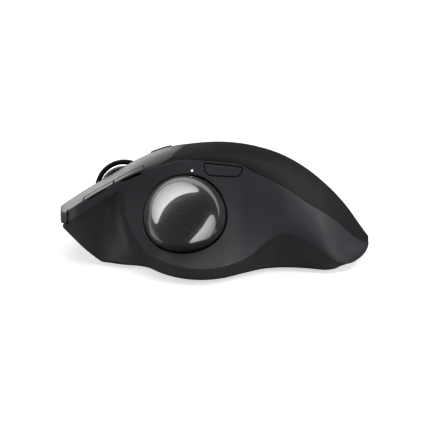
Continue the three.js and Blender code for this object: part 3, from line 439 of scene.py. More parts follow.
# ---------------- panels from outlines
GRID = 0.9  # millimetres between points inside a panel
EDGE_STEPS = 4  # rings of points round a panel's rounded edge
LINES_PER_STRETCH = [24, 56, 40, 60, 24, 40]
V_SCALE = 40.0  # makes u and v alike in size for the triangulation
PEAK_END_X = -34.0  # the shelf edge peaks in front of this, so points below the crease stay close there
V_LINES = np.concatenate([
    k + np.linspace(0, 1, LINES_PER_STRETCH[k % 6], endpoint=False) for k in range(7)])


def inside(points, loops):
    """Which points lie within the loops, by the even and odd rule."""
    hit = np.zeros(len(points), bool)
    for loop in loops:
        a, b = loop, np.roll(loop, -1, axis=0)
        for (ax, ay), (bx, by) in zip(a, b):
            if ay == by:
                continue
            crossing = (points[:, 1] > min(ay, by)) & (points[:, 1] <= max(ay, by))
            at = ax + (points[:, 1] - ay) * (bx - ax) / (by - ay)
            hit ^= crossing & (points[:, 0] < at)
    return hit


def interior(loops, grid):
    """Evenly spread (u, v) points within loops, clear of them."""
    low, high = loops[0].min(0), loops[0].max(0)
    us = np.arange(low[0] + grid / 2, high[0], grid)
    lines = np.nonzero((V_LINES > low[1]) & (V_LINES < high[1]))[0]
    gu, gj = (a.ravel() for a in np.meshgrid(us, lines))
    gv = V_LINES[gj]
    nearby = V_LINES[np.minimum(gj + 1, len(V_LINES) - 1)]
    nearby = np.where(nearby == gv, V_LINES[gj - 1], nearby)
    points = skin(gu, gv)
    spacing = np.maximum(apart(points, skin(gu, nearby)), 1e-3)
    widest = np.where((gv < 2) & (gu < PEAK_END_X), 2, 5)
    stride = 2.0 ** np.clip(np.floor(np.log2(grid * 1.3 / spacing)), 0, widest)
    keep = (gj % stride == 0) & inside(np.stack([gu, gv], 1), loops)
    edge = skin(*np.vstack(loops).T)
    tree = KDTree(len(edge))
    for k, p in enumerate(edge):
        tree.insert(p, k)
    tree.balance()
    chosen = [k for k in np.nonzero(keep)[0] if tree.find(points[k])[2] > 0.3 * grid]
    return np.stack([gu[chosen], gv[chosen]], 1)


def edge_frame(loop):
    """For each point of a loop, its place, the skin's normal and the way into the panel."""
    points = skin(*loop.T)
    normal = normals(*loop.T)
    travel = unit(np.roll(points, -1, axis=0) - np.roll(points, 1, axis=0))
    return points, normal, unit(np.cross(normal, travel))


def sharp_limit(points, normal, size):
    """Edge sizes kept below the loop's own turning radius, with gentle changes along it."""
    step = np.roll(points, -1, axis=0) - points
    length = np.maximum(np.linalg.norm(step, axis=1), 1e-6)
    ahead = step / length[:, None]
    behind = np.roll(ahead, 1, axis=0)
    turn = np.sum(np.cross(behind, ahead) * normal, axis=1)
    run = (length + np.roll(length, 1)) / 2
    size = np.where(turn > 0.02, np.minimum(size, 0.6 * run / np.maximum(turn, 0.02)), size)
    for _ in range(12):
        size = np.minimum(size, np.roll(size, 1) + 0.4 * np.roll(length, 1))
        size = np.minimum(size, np.roll(size, -1) + 0.4 * length)
    return size


def triangulate(loops, extra):
    """Triangles over (u, v): the loops' points first, then the extra ones."""
    points = np.vstack(loops + [extra])
    edges, start = [], 0
    for loop in loops:
        n = len(loop)
        edges += [(start + k, start + (k + 1) % n) for k in range(n)]
        start += n
    flat = [Vector((u, v * V_SCALE)) for u, v in points]
    found = delaunay_2d_cdt(flat, edges, [], 0, 1e-7)
    origin = [ids[0] if ids else -1 for ids in found[3]]
    faces = np.array([[origin[i] for i in face] for face in found[2]])
    faces = faces[faces.min(1) >= 0]
    return points, faces[inside(points[faces].mean(1), loops)]


def mesh_object(name, points, faces, material, shading=None):
    """A piece from millimetre points. shading holds a normal for each point."""
    mesh = bpy.data.meshes.new(name)
    mesh.from_pydata((np.asarray(points) * MM).tolist(), [], [list(map(int, f)) for f in faces])
    mesh.polygons.foreach_set("use_smooth", [True] * len(mesh.polygons))
    if shading is not None:
        mesh.normals_split_custom_set_from_vertices(shading.tolist())
    piece = bpy.data.objects.new(name, mesh)
    bpy.context.scene.collection.objects.link(piece)
    mesh.materials.append(material)
    return piece


def bands(rows, closed=False):
    """Quads between rings of point numbers that follow each other. Closed joins the last to the first."""
    after = [*rows[1:], *([rows[0]] if closed else [])]
    return [quad for a, b in zip(rows, after) for quad in zip(a, b, np.roll(b, -1), np.roll(a, -1))]


def capped(rows):
    """Faces of a closed solid from its lowest ring of point numbers up to its highest."""
    return [rows[0][::-1], *bands(rows[::-1]), rows[-1]]


def turned(loop, sense):
    """The loop run anticlockwise for sense 1, or clockwise for sense -1."""
    u, v = loop.T
    area = np.sum(u * np.roll(v, -1) - v * np.roll(u, -1))
    return loop if area * sense > 0 else loop[::-1]


def panel(name, loops, material, edge, wall=1.2, proud=0.0, grid=GRID):
    """Closed shell piece over loops of (u, v): the outline, then any holes.
    edge is one radius, or one for each loop, and fades out at the nose and tail."""
    loops = [turned(loop, 1 if k == 0 else -1) for k, loop in enumerate(loops)]
    radii = np.broadcast_to(edge, len(loops))
    insets, frames = [], []
    for loop, radius in zip(loops, radii):
        points, normal, into = edge_frame(loop)
        fade = np.clip(np.minimum(loop[:, 0] - U_NOSE, U_TAIL - loop[:, 0]) / 2.5, 0, 1)
        size = sharp_limit(points, normal, radius * fade)
        insets.append(np.stack(slide_over(*loop.T, into * size[:, None]), 1))
        frames.append((into, size))
    flat, faces = triangulate(insets, interior(insets, grid))
    outer_normals = normals(*flat.T)
    outer = skin(*flat.T) + outer_normals * proud
    inner = outer + inward(*flat.T, wall)
    points, shading = [outer, inner], [outer_normals, -outer_normals]
    count = len(outer)
    faces = [*faces, *(faces[:, ::-1] + count)]
    made, start = 2 * count, 0
    for inset, (into, size) in zip(insets, frames):
        n = len(inset)
        rim, normal = outer[start:start + n], outer_normals[start:start + n]
        centre = rim - normal * size[:, None]
        for angle in np.linspace(0, QUARTER, EDGE_STEPS + 1)[1:]:
            way = normal * math.cos(angle) - into * math.sin(angle)
            points.append(centre + way * size[:, None])
            shading.append(way)
        rows = made + np.arange(EDGE_STEPS * n).reshape(EDGE_STEPS, n)
        face_edge = start + np.arange(n)
        faces.extend(bands([face_edge, *rows, face_edge + count]))
        made += EDGE_STEPS * n
        start += n
    return mesh_object(name, np.vstack(points), faces, material, np.vstack(shading))


# ---------------- mechanical places, from the frame
JOINTS = {j["name"]: j for j in frame["joints"]}


def joint_place(name):
    return np.array(JOINTS[name]["pos_m"]) / MM


def plane_at(origin, normal):
    """Plane square to a normal, as (origin, across, along) with across near +X."""
    normal = np.asarray(normal, float)
    along = unit(np.cross(normal, (1.0, 0, 0))[None])[0]
    return origin, np.cross(along, normal), along


def touching(u, v):
    """Plane that touches the skin at one u and v."""
    return plane_at(skin(u, v)[0], normals(np.array([u]), np.array([v]))[0])


BALL_CENTRE = joint_place("ball_roll")
BALL_RADIUS = 17.0
BALL_AXIS = unit(np.array([[-0.06, -0.8, 0.59]]))[0]
BALL_OPENING = 17.45
WHEEL_CENTRE = joint_place("wheel_spin")
WHEEL_AXIS = np.array(JOINTS["wheel_spin"]["axis"])
WHEEL_RADIUS, WHEEL_WIDTH, TYRE_THICK = 12.7, 5.4, 1.5
TOP_NORMAL = np.array([0, math.sin(CANT), math.cos(CANT)])
WHEEL_PLANE = plane_at(WHEEL_CENTRE, TOP_NORMAL)
MODE_PLANE = plane_at(np.array([0, 8.0, 43.0]), TOP_NORMAL)
PLAN = (np.zeros(3), (1, 0, 0), (0, 1, 0))
FRONT_VIEW = (np.zeros(3), (0, 1, 0), (0, 0, 1))

# ---------------- outlines of the shell pieces
SHELF_V, FLANK_V, SKIRT_V = 1.002, 3.98, 6.995  # just beside the shelf edge, the right edge, the shelf again
TOP_V = (2.02, 4.0)  # from beside the crease to the right edge
CREASE_SEAM_U, FLANK_SEAM_U = -24.0, -25.0  # near the ends of the rear seam of the main buttons
SEAM = 0.07  # half the gap between two shell pieces
BUTTON_GAP = 0.2  # from a main button to its seams
KEY_GAP = 0.25
PRECISION_GAP = 0.4
SPLIT_Y = 8.0
STRIP = (-54.4, -15.5, 1.8, 13.2)
STRIP_CORNER = 3.0
KEY_SPANS = {"forward_button": (-55.0, -42.6), "back_button": (-42.2, -29.8)}
KEY_INNER_Y = -15.6
KEY_SLITS = [(-53.4, -44.8), (-39.3, -30.4)]  # dark openings under the side keys
SLIT_DEPTH = 1.15
KEY_RELIEF = 0.3  # room below the rest of a side key for its travel
LIP_END, LIP_NOTCH, PANEL_FRONT, SHELL_FRONT = -62.5, 1.25, -61.6, -65.0
CLICK_X = joint_place("left_click")[0]
CLICK_ANGLE = math.radians(JOINTS["left_click"]["range_deg"][1])
WHEEL_SLOT = (-13.2, 8.6, -4.3, 4.3)
SLOT_RIM = 0.55  # least width of the strip beside the wheel slot
MODE_KEY, MODE_CORNER = (-27.6, -18.6, -3.0, 3.0), 1.5
PRECISION = (3.4, 1.862)
PRECISION_CORNERS = [(-8.0, 2.6), (-7.1, -2.3), (6.7, -2.8), (7.9, 1.1)]
PRECISION_ROUNDING = [0.5, 2.6, 2.4, 0.5]
LED = (-9.6, 1.872)
LED_HOLE = 0.42
CHARGING_MOUTH = (-1.0, 7.6, 9.2, 12.1)  # y and z
SWITCH_SLOT = (-45.0, -36.0, 10.5, 13.5)
HINGE_POCKET = (-6.0, 26.0, 31.8, 37.4)
PLATE_BOX, PLATE_Z, PLATE_THICK = (-28, 50, -22, 31.4), 0.5, 0.8


def line(start, end, v_of, count=240):
    """Path along the body from one u to another, on the line v_of(u)."""
    u = np.linspace(float(start), float(end), count)
    return np.stack([u, v_of(u)], 1)


def value(v_of, u):
    """v of a line at one u."""
    return float(v_of(np.array([float(u)]))[0])


def rise(u, start, end, count=60):
    """Path round the section at one u, from the line start(u) to the line end(u)."""
    return np.stack([np.full(count, float(u)), np.linspace(value(start, u), value(end, u), count)], 1)


def click_drop(u):
    """How far a main button's edge moves down when it is clicked, with a little room."""
    x = x_of(u)
    return np.where(x < CLICK_X, 0.15 + (CLICK_X - x) * math.tan(CLICK_ANGLE), 0.0)


def slit(u):
    """How far the thumb panel's upper edge stands back under the side keys."""
    x = x_of(u)
    step = lambda a, b: smooth((x - a) / 0.5) * smooth((b - x) / 0.5)
    return np.maximum(sum(step(a, b) for a, b in KEY_SLITS) * SLIT_DEPTH,
                      sum(step(a - 0.4, b + 0.4) for a, b in KEY_SPANS.values()) * KEY_RELIEF)


def shelf_line(u):
    return beside(u, SHELF_V, SEAM)


def crease_line(u):
    return beside(u, 2.0, BUTTON_GAP)


def flank_line(u):
    return beside(u, FLANK_V, -SEAM)


def at_y(y):
    """Line on the top where the skin has this y."""
    return lambda u: v_where(u, (0, 1, 0), y, *TOP_V)


def seam_path(low, high, distance):
    v = np.linspace(low, high, 240)
    return np.stack([button_seam(v, distance), v], 1)


def grown(box, margin):
    x0, x1, y0, y1 = box
    return x0 - margin, x1 + margin, y0 - margin, y1 + margin


def grown_outline(outline, margin):
    """Closed anticlockwise 2-D outline moved outwards by a margin."""
    travel = unit(np.roll(outline, -1, axis=0) - np.roll(outline, 1, axis=0))
    return outline + margin * np.stack([travel[:, 1], -travel[:, 0]], 1)


def drape(points, plane):
    """u and v on the top of the skin for 2-D points of a plane that leans about X."""
    origin, _, along = plane
    u = u_of(origin[0] + points[:, 0])
    return np.stack([u, v_where(u, along, points[:, 1] + origin @ np.asarray(along), *TOP_V)], 1)


def lower_rectangle(box, corner, plane, region):
    """Rounded rectangle of a plane, laid on the lower side of the skin."""
    return find(dense(rounded(bar(*box), corner), 0.5), plane, region)


def top_rectangle(box, corner, plane, step=0.5):
    """Rounded rectangle of a plane, laid on the top of the skin."""
    return drape(dense(rounded(bar(*box), corner), step), plane)


def circle(radius, count):
    turn = np.linspace(0, 2 * math.pi, count, endpoint=False)
    return radius * np.stack([np.cos(turn), np.sin(turn)], 1)


def patch(start, end, low, high, radii, step=0.6, counts=(240, 60)):
    """Loop round the skin from one u to another, between a line below and a line above."""
    along, across = counts
    return ring([line(start, end, low), rise(end, low, high, across), line(end, start, high, along),
                 rise(start, high, low, across)], radii, step)


def thumb_panel_loops():
    top = lambda u: beside(u, thumb_top(u), -SEAM - slit(u))
    outline = patch(u_of(PANEL_FRONT), U_TAIL, shelf_line, top, [0, 0, 0.5, 0.5], counts=(600, 60))
    ball_hole = find(circle(BALL_OPENING, 220), plane_at(BALL_CENTRE, BALL_AXIS), (-34, 8, 1.02, 1.95))
    led_hole = find(circle(LED_HOLE, 22), touching(*LED), (-13, -6, 1.8, 1.93))
    return [outline, ball_hole, precision_outline(PRECISION_GAP), led_hole]


def precision_outline(margin):
    outline = grown_outline(dense(rounded(PRECISION_CORNERS, PRECISION_ROUNDING), 0.4), margin)
    return find(outline, touching(*PRECISION), (-9, 16, 1.72, 1.99))


def strip_half(start, end, side, split):
    """Path round half of the strip, from the start over its side to the end, with both ends at the split."""
    corners = [(start, split), (start, side), (end, side), (end, split)]
    path = rounded(corners, STRIP_CORNER + SEAM, closed=False)
    return drape(dense(path, 0.4, closed=False), PLAN)


def split_front(y):
    """u where the line at this y meets the flank line near the nose."""
    low, high = U_NOSE, NOSE_ROUND_X
    for _ in range(40):
        middle = (low + high) / 2
        v = value(flank_line, middle)
        low, high = (middle, high) if skin(middle, v)[0, 1] < y else (low, middle)
    return (low + high) / 2


def seam_v(y):
    """v where the rear seam of the buttons crosses this y."""
    v = np.linspace(2.0, 4.0, 400)
    return float(np.interp(y, skin(button_seam(v), v)[:, 1], v))


def left_button_loops():
    lip_end = u_of(LIP_END)
    front = KEY_SPANS["forward_button"][0] - KEY_GAP
    back = KEY_SPANS["back_button"][1] + KEY_GAP
    split_y = SPLIT_Y - SEAM
    inner, split = at_y(KEY_INNER_Y + KEY_GAP), at_y(split_y)
    seam = seam_path(value(crease_line, CREASE_SEAM_U), seam_v(split_y), -BUTTON_GAP)
    strip_front, strip_rear, strip_side, _ = grown(STRIP, SEAM)
    strip = strip_half(strip_rear, strip_front, strip_side, split_y)
    meet = split_front(split_y)
    edges = [line(U_NOSE, lip_end, shelf_line), rise(lip_end, shelf_line, crease_line),
             line(lip_end, front, crease_line), rise(front, crease_line, inner),
             line(front, back, inner), rise(back, inner, crease_line),
             line(back, seam[0, 0], crease_line), seam, line(seam[-1, 0], strip[0, 0], split), strip,
             line(strip[-1, 0], meet, split), line(meet, U_NOSE, flank_line),
             rise(U_NOSE, flank_line, shelf_line)]
    return [ring(edges, [0.4, 0.8, 0.8, 0.8, 0.8, 0.8, 0.5, 0.5, 0.4, 0.4, 0.2, 0, 0])]


def right_button_loops():
    split_y = SPLIT_Y + SEAM
    split = at_y(split_y)
    strip_front, strip_rear, _, strip_side = grown(STRIP, SEAM)
    strip = strip_half(strip_front, strip_rear, strip_side, split_y)
    front = split_front(split_y) + 0.8
    seam = seam_path(seam_v(split_y), value(flank_line, FLANK_SEAM_U), -BUTTON_GAP)
    edges = [line(front, strip[0, 0], split), strip, line(strip[-1, 0], seam[0, 0], split), seam,
             line(seam[-1, 0], front, flank_line), rise(front, flank_line, split)]
    return [ring(edges, [0.4, 0.4, 0.5, 0.8, 0.3, 0.3])]


def side_key_loops(span):
    return [patch(*span, crease_line, at_y(KEY_INNER_Y), [0.5, 0.8, 0.8, 0.5], step=0.35)]


def bezel_loops():
    outline = top_rectangle(grown(STRIP, -SEAM), STRIP_CORNER - SEAM, PLAN)
    slot = top_rectangle(WHEEL_SLOT, 2.0, WHEEL_PLANE)
    u = slot[:, 0]
    slot[:, 1] = np.clip(slot[:, 1], at_y(STRIP[2] + SLOT_RIM)(u), at_y(STRIP[3] - SLOT_RIM)(u))
    return [outline, slot, top_rectangle(grown(MODE_KEY, KEY_GAP), MODE_CORNER + KEY_GAP, MODE_PLANE, 0.4)]


def palm_cover_loops():
    low = lambda u: beside(u, thumb_top(u), SEAM)
    seam = seam_path(value(flank_line, FLANK_SEAM_U), value(low, CREASE_SEAM_U), SEAM)
    edges = [line(seam[-1, 0], U_TAIL, low, 600), rise(U_TAIL, low, flank_line),
             line(U_TAIL, seam[0, 0], flank_line), seam]
    return [ring(edges, [0, 0, 0.8, 1.6])]


def lower_shell_loops():
    near_lip = lambda u: (click_drop(u) + LIP_NOTCH) * smooth((LIP_END + 1.2 - x_of(u)) / 0.9)
    right = lambda u: beside(u, 4.0, SEAM + click_drop(u))
    left = lambda u: beside(u, SKIRT_V, -SEAM - near_lip(u))
    outline = patch(u_of(SHELL_FRONT), U_TAIL, right, left, [0, 0, 0.6, 0.6], counts=(240, 200))
    mouth = lower_rectangle(grown(CHARGING_MOUTH, 0.4), 1.4, FRONT_VIEW, (-63, -50, 5.1, 5.9))
    slot = lower_rectangle(SWITCH_SLOT, 0.8, PLAN, (-47, -33, 5.05, 5.95))
    pocket = lower_rectangle(HINGE_POCKET, 0.8, PLAN, (-8, 28, 5.02, 5.98))
    return [outline, mouth, slot, pocket]


# ---------------- materials
class Nodes:
    """Short hand for building a node material."""

    def __init__(self, name):
        self.material = bpy.data.materials.new(name)
        self.material.use_nodes = True
        self.tree = self.material.node_tree
        self.shader = next(n for n in self.tree.nodes if n.type == "BSDF_PRINCIPLED")
        self.place = self.add("ShaderNodeTexCoord").outputs["Object"]

    def add(self, kind, settings=None, **inputs):
        node = self.tree.nodes.new(kind)
        for key, item in (settings or {}).items():
            setattr(node, key, item)
        for key, item in inputs.items():
            self.feed(node, key.replace("_", " "), item)
        return node

    def feed(self, node, name, item):
        socket = node.inputs[name] if name in node.inputs else node.inputs[name.title()]
        if isinstance(item, bpy.types.NodeSocket):
            self.tree.links.new(item, socket)
        else:
            socket.default_value = item

    def finish(self, **inputs):
        """The material, with these inputs of its surface."""
        for key, item in inputs.items():
            self.feed(self.shader, key.replace("_", " "), item)
        return self.material

    def noise(self, size, detail=2.0, stretch=None):
        """Noise whose features are about a size in millimetres."""
        place = self.place
        if stretch is not None:
            place = self.add("ShaderNodeMapping", Vector=place, Scale=stretch).outputs["Vector"]
        return self.add("ShaderNodeTexNoise", Vector=place, Scale=1000.0 / size, Detail=detail).outputs["Fac"]

    def ramp(self, source, low, high, span=(0.3, 0.7)):
        """Runs from one grey or colour to another while the source runs over a span."""
        node = self.add("ShaderNodeValToRGB", Fac=source)
        for stop, position, colour in zip(node.color_ramp.elements, span, (low, high)):
            stop.position = position
            stop.color = (*colour, 1) if isinstance(colour, tuple) else (colour, colour, colour, 1)
        return node.outputs["Color"]

    def bump(self, source, depth, strength=1.0, under=None):
        """Normal from a height of a depth in millimetres."""
        node = self.add("ShaderNodeBump", Strength=strength, Distance=depth * MM, Height=source)
        if under is not None:
            self.tree.links.new(under, node.inputs["Normal"])
        return node.outputs["Normal"]


def tint(colour, factor):
    return tuple(min(1.0, c * factor) for c in colour)


def moulded(name, colour, roughness, grain, depth, mottle=0.12, specular=0.5):
    """Moulded plastic with a fine grain and slightly uneven tone and gloss."""
    n = Nodes(name)
    tone = n.ramp(n.noise(9.0, 3.0), tint(colour, 1 - mottle), tint(colour, 1 + mottle))
    gloss = n.ramp(n.noise(2.5, 4.0), roughness - 0.035, roughness + 0.035)
    surface = n.bump(n.noise(grain, 2.0), depth, under=n.bump(n.noise(grain * 6, 2.0), depth * 1.5))
    return n.finish(Base_Color=tone, Roughness=gloss, Normal=surface, Specular_IOR_Level=specular)


def pearl(name):
    """Dark grey ball with fine metallic flecks below a clear polished coat."""
    n = Nodes(name)
    fleck = n.add("ShaderNodeTexVoronoi", {"feature": "F1"}, Vector=n.place, Scale=1000.0 / 0.22)
    sparkle = n.ramp(fleck.outputs["Color"], (0.035, 0.035, 0.037), (0.08, 0.08, 0.082), (0.15, 0.85))
    cloud = n.ramp(n.noise(0.7, 4.0), 0.85, 1.0)
    colour = n.add("ShaderNodeMix", {"data_type": "RGBA", "blend_type": "MULTIPLY"})
    colour.inputs["Factor"].default_value = 1.0
    n.tree.links.new(sparkle, colour.inputs[6])
    n.tree.links.new(cloud, colour.inputs[7])
    tilt = n.bump(fleck.outputs["Distance"], 0.004, 0.5)
    return n.finish(Base_Color=colour.outputs[2], Metallic=0.7, Roughness=0.36, Normal=tilt, Coat_Weight=1.0,
                    Coat_Roughness=0.04, Coat_IOR=1.8)


def rubber(name, colour):
    n = Nodes(name)
    tone = n.ramp(n.noise(3.0, 4.0), tint(colour, 0.8), tint(colour, 1.25))
    surface = n.bump(n.noise(0.18, 3.0), 0.02)
    return n.finish(Base_Color=tone, Roughness=0.72, Normal=surface, Specular_IOR_Level=0.35)


def brushed(name, colour, roughness=0.3, along=(1.0, 30.0, 30.0)):
    n = Nodes(name)
    grain = n.noise(1.2, 3.0, along)
    tone = n.ramp(grain, tint(colour, 0.82), tint(colour, 1.12))
    gloss = n.ramp(grain, roughness - 0.06, roughness + 0.08)
    return n.finish(Base_Color=tone, Metallic=1.0, Roughness=gloss, Normal=n.bump(grain, 0.006))


def spun_metal(name):
    """Polished wheel metal with turning marks round its axle."""
    n = Nodes(name)
    centre = tuple(WHEEL_CENTRE * MM)
    offset = n.add("ShaderNodeVectorMath", {"operation": "DISTANCE"})
    n.tree.links.new(n.place, offset.inputs[0])
    offset.inputs[1].default_value = centre
    rings = n.add("ShaderNodeTexNoise", {"noise_dimensions": "1D"}, Scale=4200.0, Detail=2.0)
    n.tree.links.new(offset.outputs["Value"], rings.inputs["W"])
    tone = n.ramp(rings.outputs["Fac"], (0.5, 0.5, 0.51), (0.68, 0.68, 0.69))
    return n.finish(Base_Color=tone, Metallic=1.0, Roughness=0.2, Normal=n.bump(rings.outputs["Fac"], 0.004))


def circuit(name):
    n = Nodes(name)
    tracks = n.add("ShaderNodeTexVoronoi", {"feature": "DISTANCE_TO_EDGE"}, Vector=n.place, Scale=420.0)
    tone = n.ramp(tracks.outputs["Distance"], (0.05, 0.16, 0.08), (0.015, 0.07, 0.035), (0.03, 0.06))
    return n.finish(Base_Color=tone, Roughness=0.4, Coat_Weight=0.4,
                    Normal=n.bump(tracks.outputs["Distance"], 0.03, 0.5))


def lens(name, colour):
    n = Nodes(name)
    gloss = n.ramp(n.noise(4.0), 0.03, 0.07, (0.4, 0.6))
    return n.finish(Base_Color=(*colour, 1), Roughness=gloss, Transmission_Weight=0.9, IOR=1.49)


def glow(name):
    n = Nodes(name)
    tone = n.ramp(n.noise(0.3), (0.9, 0.95, 1.0), (1.0, 1.0, 1.0))
    return n.finish(Base_Color=tone, Roughness=0.35, Emission_Color=tone, Emission_Strength=1.5)


def foil(name):
    n = Nodes(name)
    creases = n.noise(3.0, 6.0)
    tone = n.ramp(creases, (0.42, 0.45, 0.48), (0.58, 0.61, 0.64))
    return n.finish(Base_Color=tone, Metallic=0.9, Roughness=0.32, Normal=n.bump(creases, 0.08))


LOOKS = {
    "shell_skirt": moulded("skirt_plastic", (0.0195, 0.0215, 0.0238), 0.5, 0.3, 0.014),
    "thumb_graphite": moulded("thumb_graphite", (0.0195, 0.0215, 0.0255), 0.5, 0.2, 0.008, specular=0.4),
    "palm_rubber": moulded("palm_rubber", (0.0098, 0.0108, 0.0122), 0.6, 0.16, 0.01, specular=0.17),
    "key_satin": moulded("key_satin", (0.03, 0.031, 0.0325), 0.36, 0.12, 0.003, mottle=0.05),
    "gloss_black": moulded("gloss_black", (0.002, 0.002, 0.0021), 0.55, 0.5, 0.001, specular=0.03),
    "ball_pearl": pearl("ball_pearl"),
    "wheel_rubber": rubber("wheel_rubber", (0.009, 0.009, 0.009)),
    "bright_steel": brushed("bright_steel", (0.6, 0.6, 0.61)),
    "plate_steel": brushed("plate_steel", (0.26, 0.27, 0.28), 0.38, (1.0, 40.0, 1.0)),
    "magnet": brushed("magnet_nickel", (0.55, 0.55, 0.56), 0.22),
    "bearing_ceramic": moulded("bearing_ceramic", (0.7, 0.69, 0.66), 0.15, 0.6, 0.001, mottle=0.04),
    "inner_black": moulded("inner_black", (0.012, 0.012, 0.012), 0.5, 0.25, 0.01),
    "inner_nylon": moulded("inner_nylon", (0.035, 0.036, 0.038), 0.55, 0.3, 0.015),
    "board_green": circuit("board_green"),
    "clear_lens": lens("clear_lens", (0.9, 0.93, 0.95)),
    "led_white": glow("led_white"),
    "cell_foil": foil("cell_foil"),
}
WHEEL_METAL = spun_metal("wheel_spun_metal")
PAPER_WHITE = (0.86, 0.86, 0.86)

# ---------------- pieces
SLOT_OF = {row["node"]: row["material_slot"] for row in frame["record"]["subparts"]}
BODY_OF = {node: body for body, nodes in frame["record"]["behaviour"]["bodies"].items() for node in nodes}


def stand_for(piece, node):
    """The piece replaces a CAD node, and takes its body."""
    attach(piece, BODY_OF[node])
    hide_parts(node)


def shell(node, loops, **shape):
    """Fine panel in the place of a CAD shell node."""
    stand_for(panel(node + "_skin", loops, LOOKS[SLOT_OF[node]], **shape), node)


def wheel_piece(name, node, profile, material, sides, ripple=None):
    """Closed solid of revolution round the wheel's axle, from (radius, distance along the axle) points."""
    profile = np.asarray(profile, float)
    points = []
    for k, angle in enumerate(np.linspace(0, 2 * math.pi, sides, endpoint=False)):
        radius = profile[:, 0] + (ripple(k, profile) if ripple else 0)
        points.append(np.stack([radius * math.cos(angle), radius * math.sin(angle), profile[:, 1]], 1))
    faces = bands(np.arange(sides * len(profile)).reshape(sides, -1), closed=True)
    turn = np.array(Vector(WHEEL_AXIS).to_track_quat("Z", "Y").to_matrix())
    stand_for(mesh_object(name, np.vstack(points) @ turn.T + WHEEL_CENTRE, faces, material), node)


def arc(centre, radius, start, end, count):
    """(radius, height) points of an arc in a profile, angles in degrees."""
    angle = np.radians(np.linspace(start, end, count))
    return [(centre[0] + radius * math.cos(a), centre[1] + radius * math.sin(a)) for a in angle]


LINER_FRONT, LINER_REAR = -56.0, -32.0
LINER_Y = (-13.4, -13.0)
LINER_DROP = (7.0, 1.7)  # foot and top of the liner below the crease


def make_key_liner():
    """Dark wall inside the body, behind the side keys and their switches."""
    xs = np.linspace(LINER_FRONT, LINER_REAR, 49)
    crest = skin(xs, 2.0)[:, 2]
    section = [(LINER_Y[i], LINER_DROP[j]) for i, j in ((0, 0), (1, 0), (1, 1), (0, 1))]
    points = [(x, y, top - drop) for x, top in zip(xs, crest) for y, drop in section]
    faces = capped(np.arange(len(points)).reshape(-1, len(section)))
    liner = mesh_object("key_well_wall", points, faces, LOOKS["inner_black"])
    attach(liner, "mouse_body")


def make_ball():
    mesh = bmesh.new()
    bmesh.ops.create_icosphere(mesh, subdivisions=6, radius=BALL_RADIUS)
    points = np.array([v.co for v in mesh.verts])
    faces = [[v.index for v in f.verts] for f in mesh.faces]
    mesh.free()
    points = unit(points) * BALL_RADIUS
    ball = mesh_object("thumb_ball", points + BALL_CENTRE, faces, LOOKS["ball_pearl"], unit(points))
    stand_for(ball, "trackball")


RIBS = 64
RIB_DEPTH = 0.16


def make_wheel():
    half, corner = WHEEL_WIDTH / 2, 0.7
    inner = WHEEL_RADIUS - TYRE_THICK
    tread = WHEEL_RADIUS - corner
    tyre = ([(inner, -half), (tread, -half)] + arc((tread, -half + corner), corner, -90, 0, 6)[1:]
            + arc((tread, half - corner), corner, 0, 90, 6) + [(inner, half)])

    def ripple(k, profile):
        groove = RIB_DEPTH if k % 6 in (0, 1) else 0.0
        return np.where(profile[:, 0] > WHEEL_RADIUS - 0.3, -groove, 0.0)

    wheel_piece("wheel_tread", "wheel_tyre", tyre, LOOKS["wheel_rubber"], RIBS * 6, ripple)
    face, bore = half - 0.1, 1.3
    lip = inner - 0.06
    bevel = [(lip - 2.4 * (1 - math.cos(a)), face - 1.3 * (1 - math.sin(a)))
             for a in np.linspace(0, QUARTER, 9)]
    # from the rim inwards: bevel, step, hollow disc, hub
    side = [(lip, 0)] + bevel + [(8.7, face - 0.1), (8.5, face - 0.45)]
    side += arc((5.9, face + 5.9), 6.9, -67, -113, 13) + [(3.2, face - 0.15), (3.0, face), (bore, face)]
    mirrored = [(r, -h) for r, h in reversed(side[1:])]
    wheel_piece("wheel_rim_face", "wheel_rim", side + mirrored, WHEEL_METAL, 192)


def slab(name, node, box, corner, z0, z1, edge):
    """Flat plate with rounded corners, and rounded edges above and below."""
    outline = rounded(bar(*box), corner, arc_points=14)
    curve = [(edge * (1 - math.sin(a)), edge * (math.cos(a) - 1)) for a in np.linspace(0, QUARTER, 4)]
    rings = [(z0 + rise, growth) for rise, growth in curve[::-1]]
    rings += [(z1 - fall, growth) for fall, growth in curve]
    points = [(x, y, z) for z, growth in rings for x, y in grown_outline(outline, growth)]
    faces = capped(np.arange(len(points)).reshape(len(rings), -1))
    stand_for(mesh_object(name, points, faces, LOOKS[SLOT_OF[node]]), node)


# ---------------- build the pieces
shell("thumb_panel", thumb_panel_loops(), edge=[0.1, 0.5, 0.25, 0.1])
shell("palm_cover", palm_cover_loops(), wall=1.3, edge=0.1)
shell("lower_shell", lower_shell_loops(), wall=1.3, grid=1.1, edge=0.2)
shell("scroll_bezel", bezel_loops(), edge=[0.1, 0.25, 0.3], grid=0.7)
shell("left_button", left_button_loops(), edge=0.28)
shell("right_button", right_button_loops(), edge=0.28)
for key, span in KEY_SPANS.items():
    shell(key, side_key_loops(span), edge=0.4, grid=0.6, wall=0.9)
shell("precision_button", [precision_outline(0.0)], edge=0.45, grid=0.5, wall=1.4)
mode_loop = top_rectangle(MODE_KEY, MODE_CORNER, MODE_PLANE, 0.4)
shell("mode_button", [mode_loop], edge=0.3, proud=0.6, grid=0.5, wall=2.0)
make_key_liner()
make_ball()
make_wheel()
slab("base_plate", "tilt_plate", PLATE_BOX, 8, PLATE_Z, PLATE_Z + PLATE_THICK, 0.2)
slab("base_pad", "plate_pad", grown(PLATE_BOX, -2), 7, 0.0, PLATE_Z, 0.15)
for name, node in frame["nodes"].items():
    node.data.materials.clear()
    node.data.materials.append(LOOKS[SLOT_OF[name]])

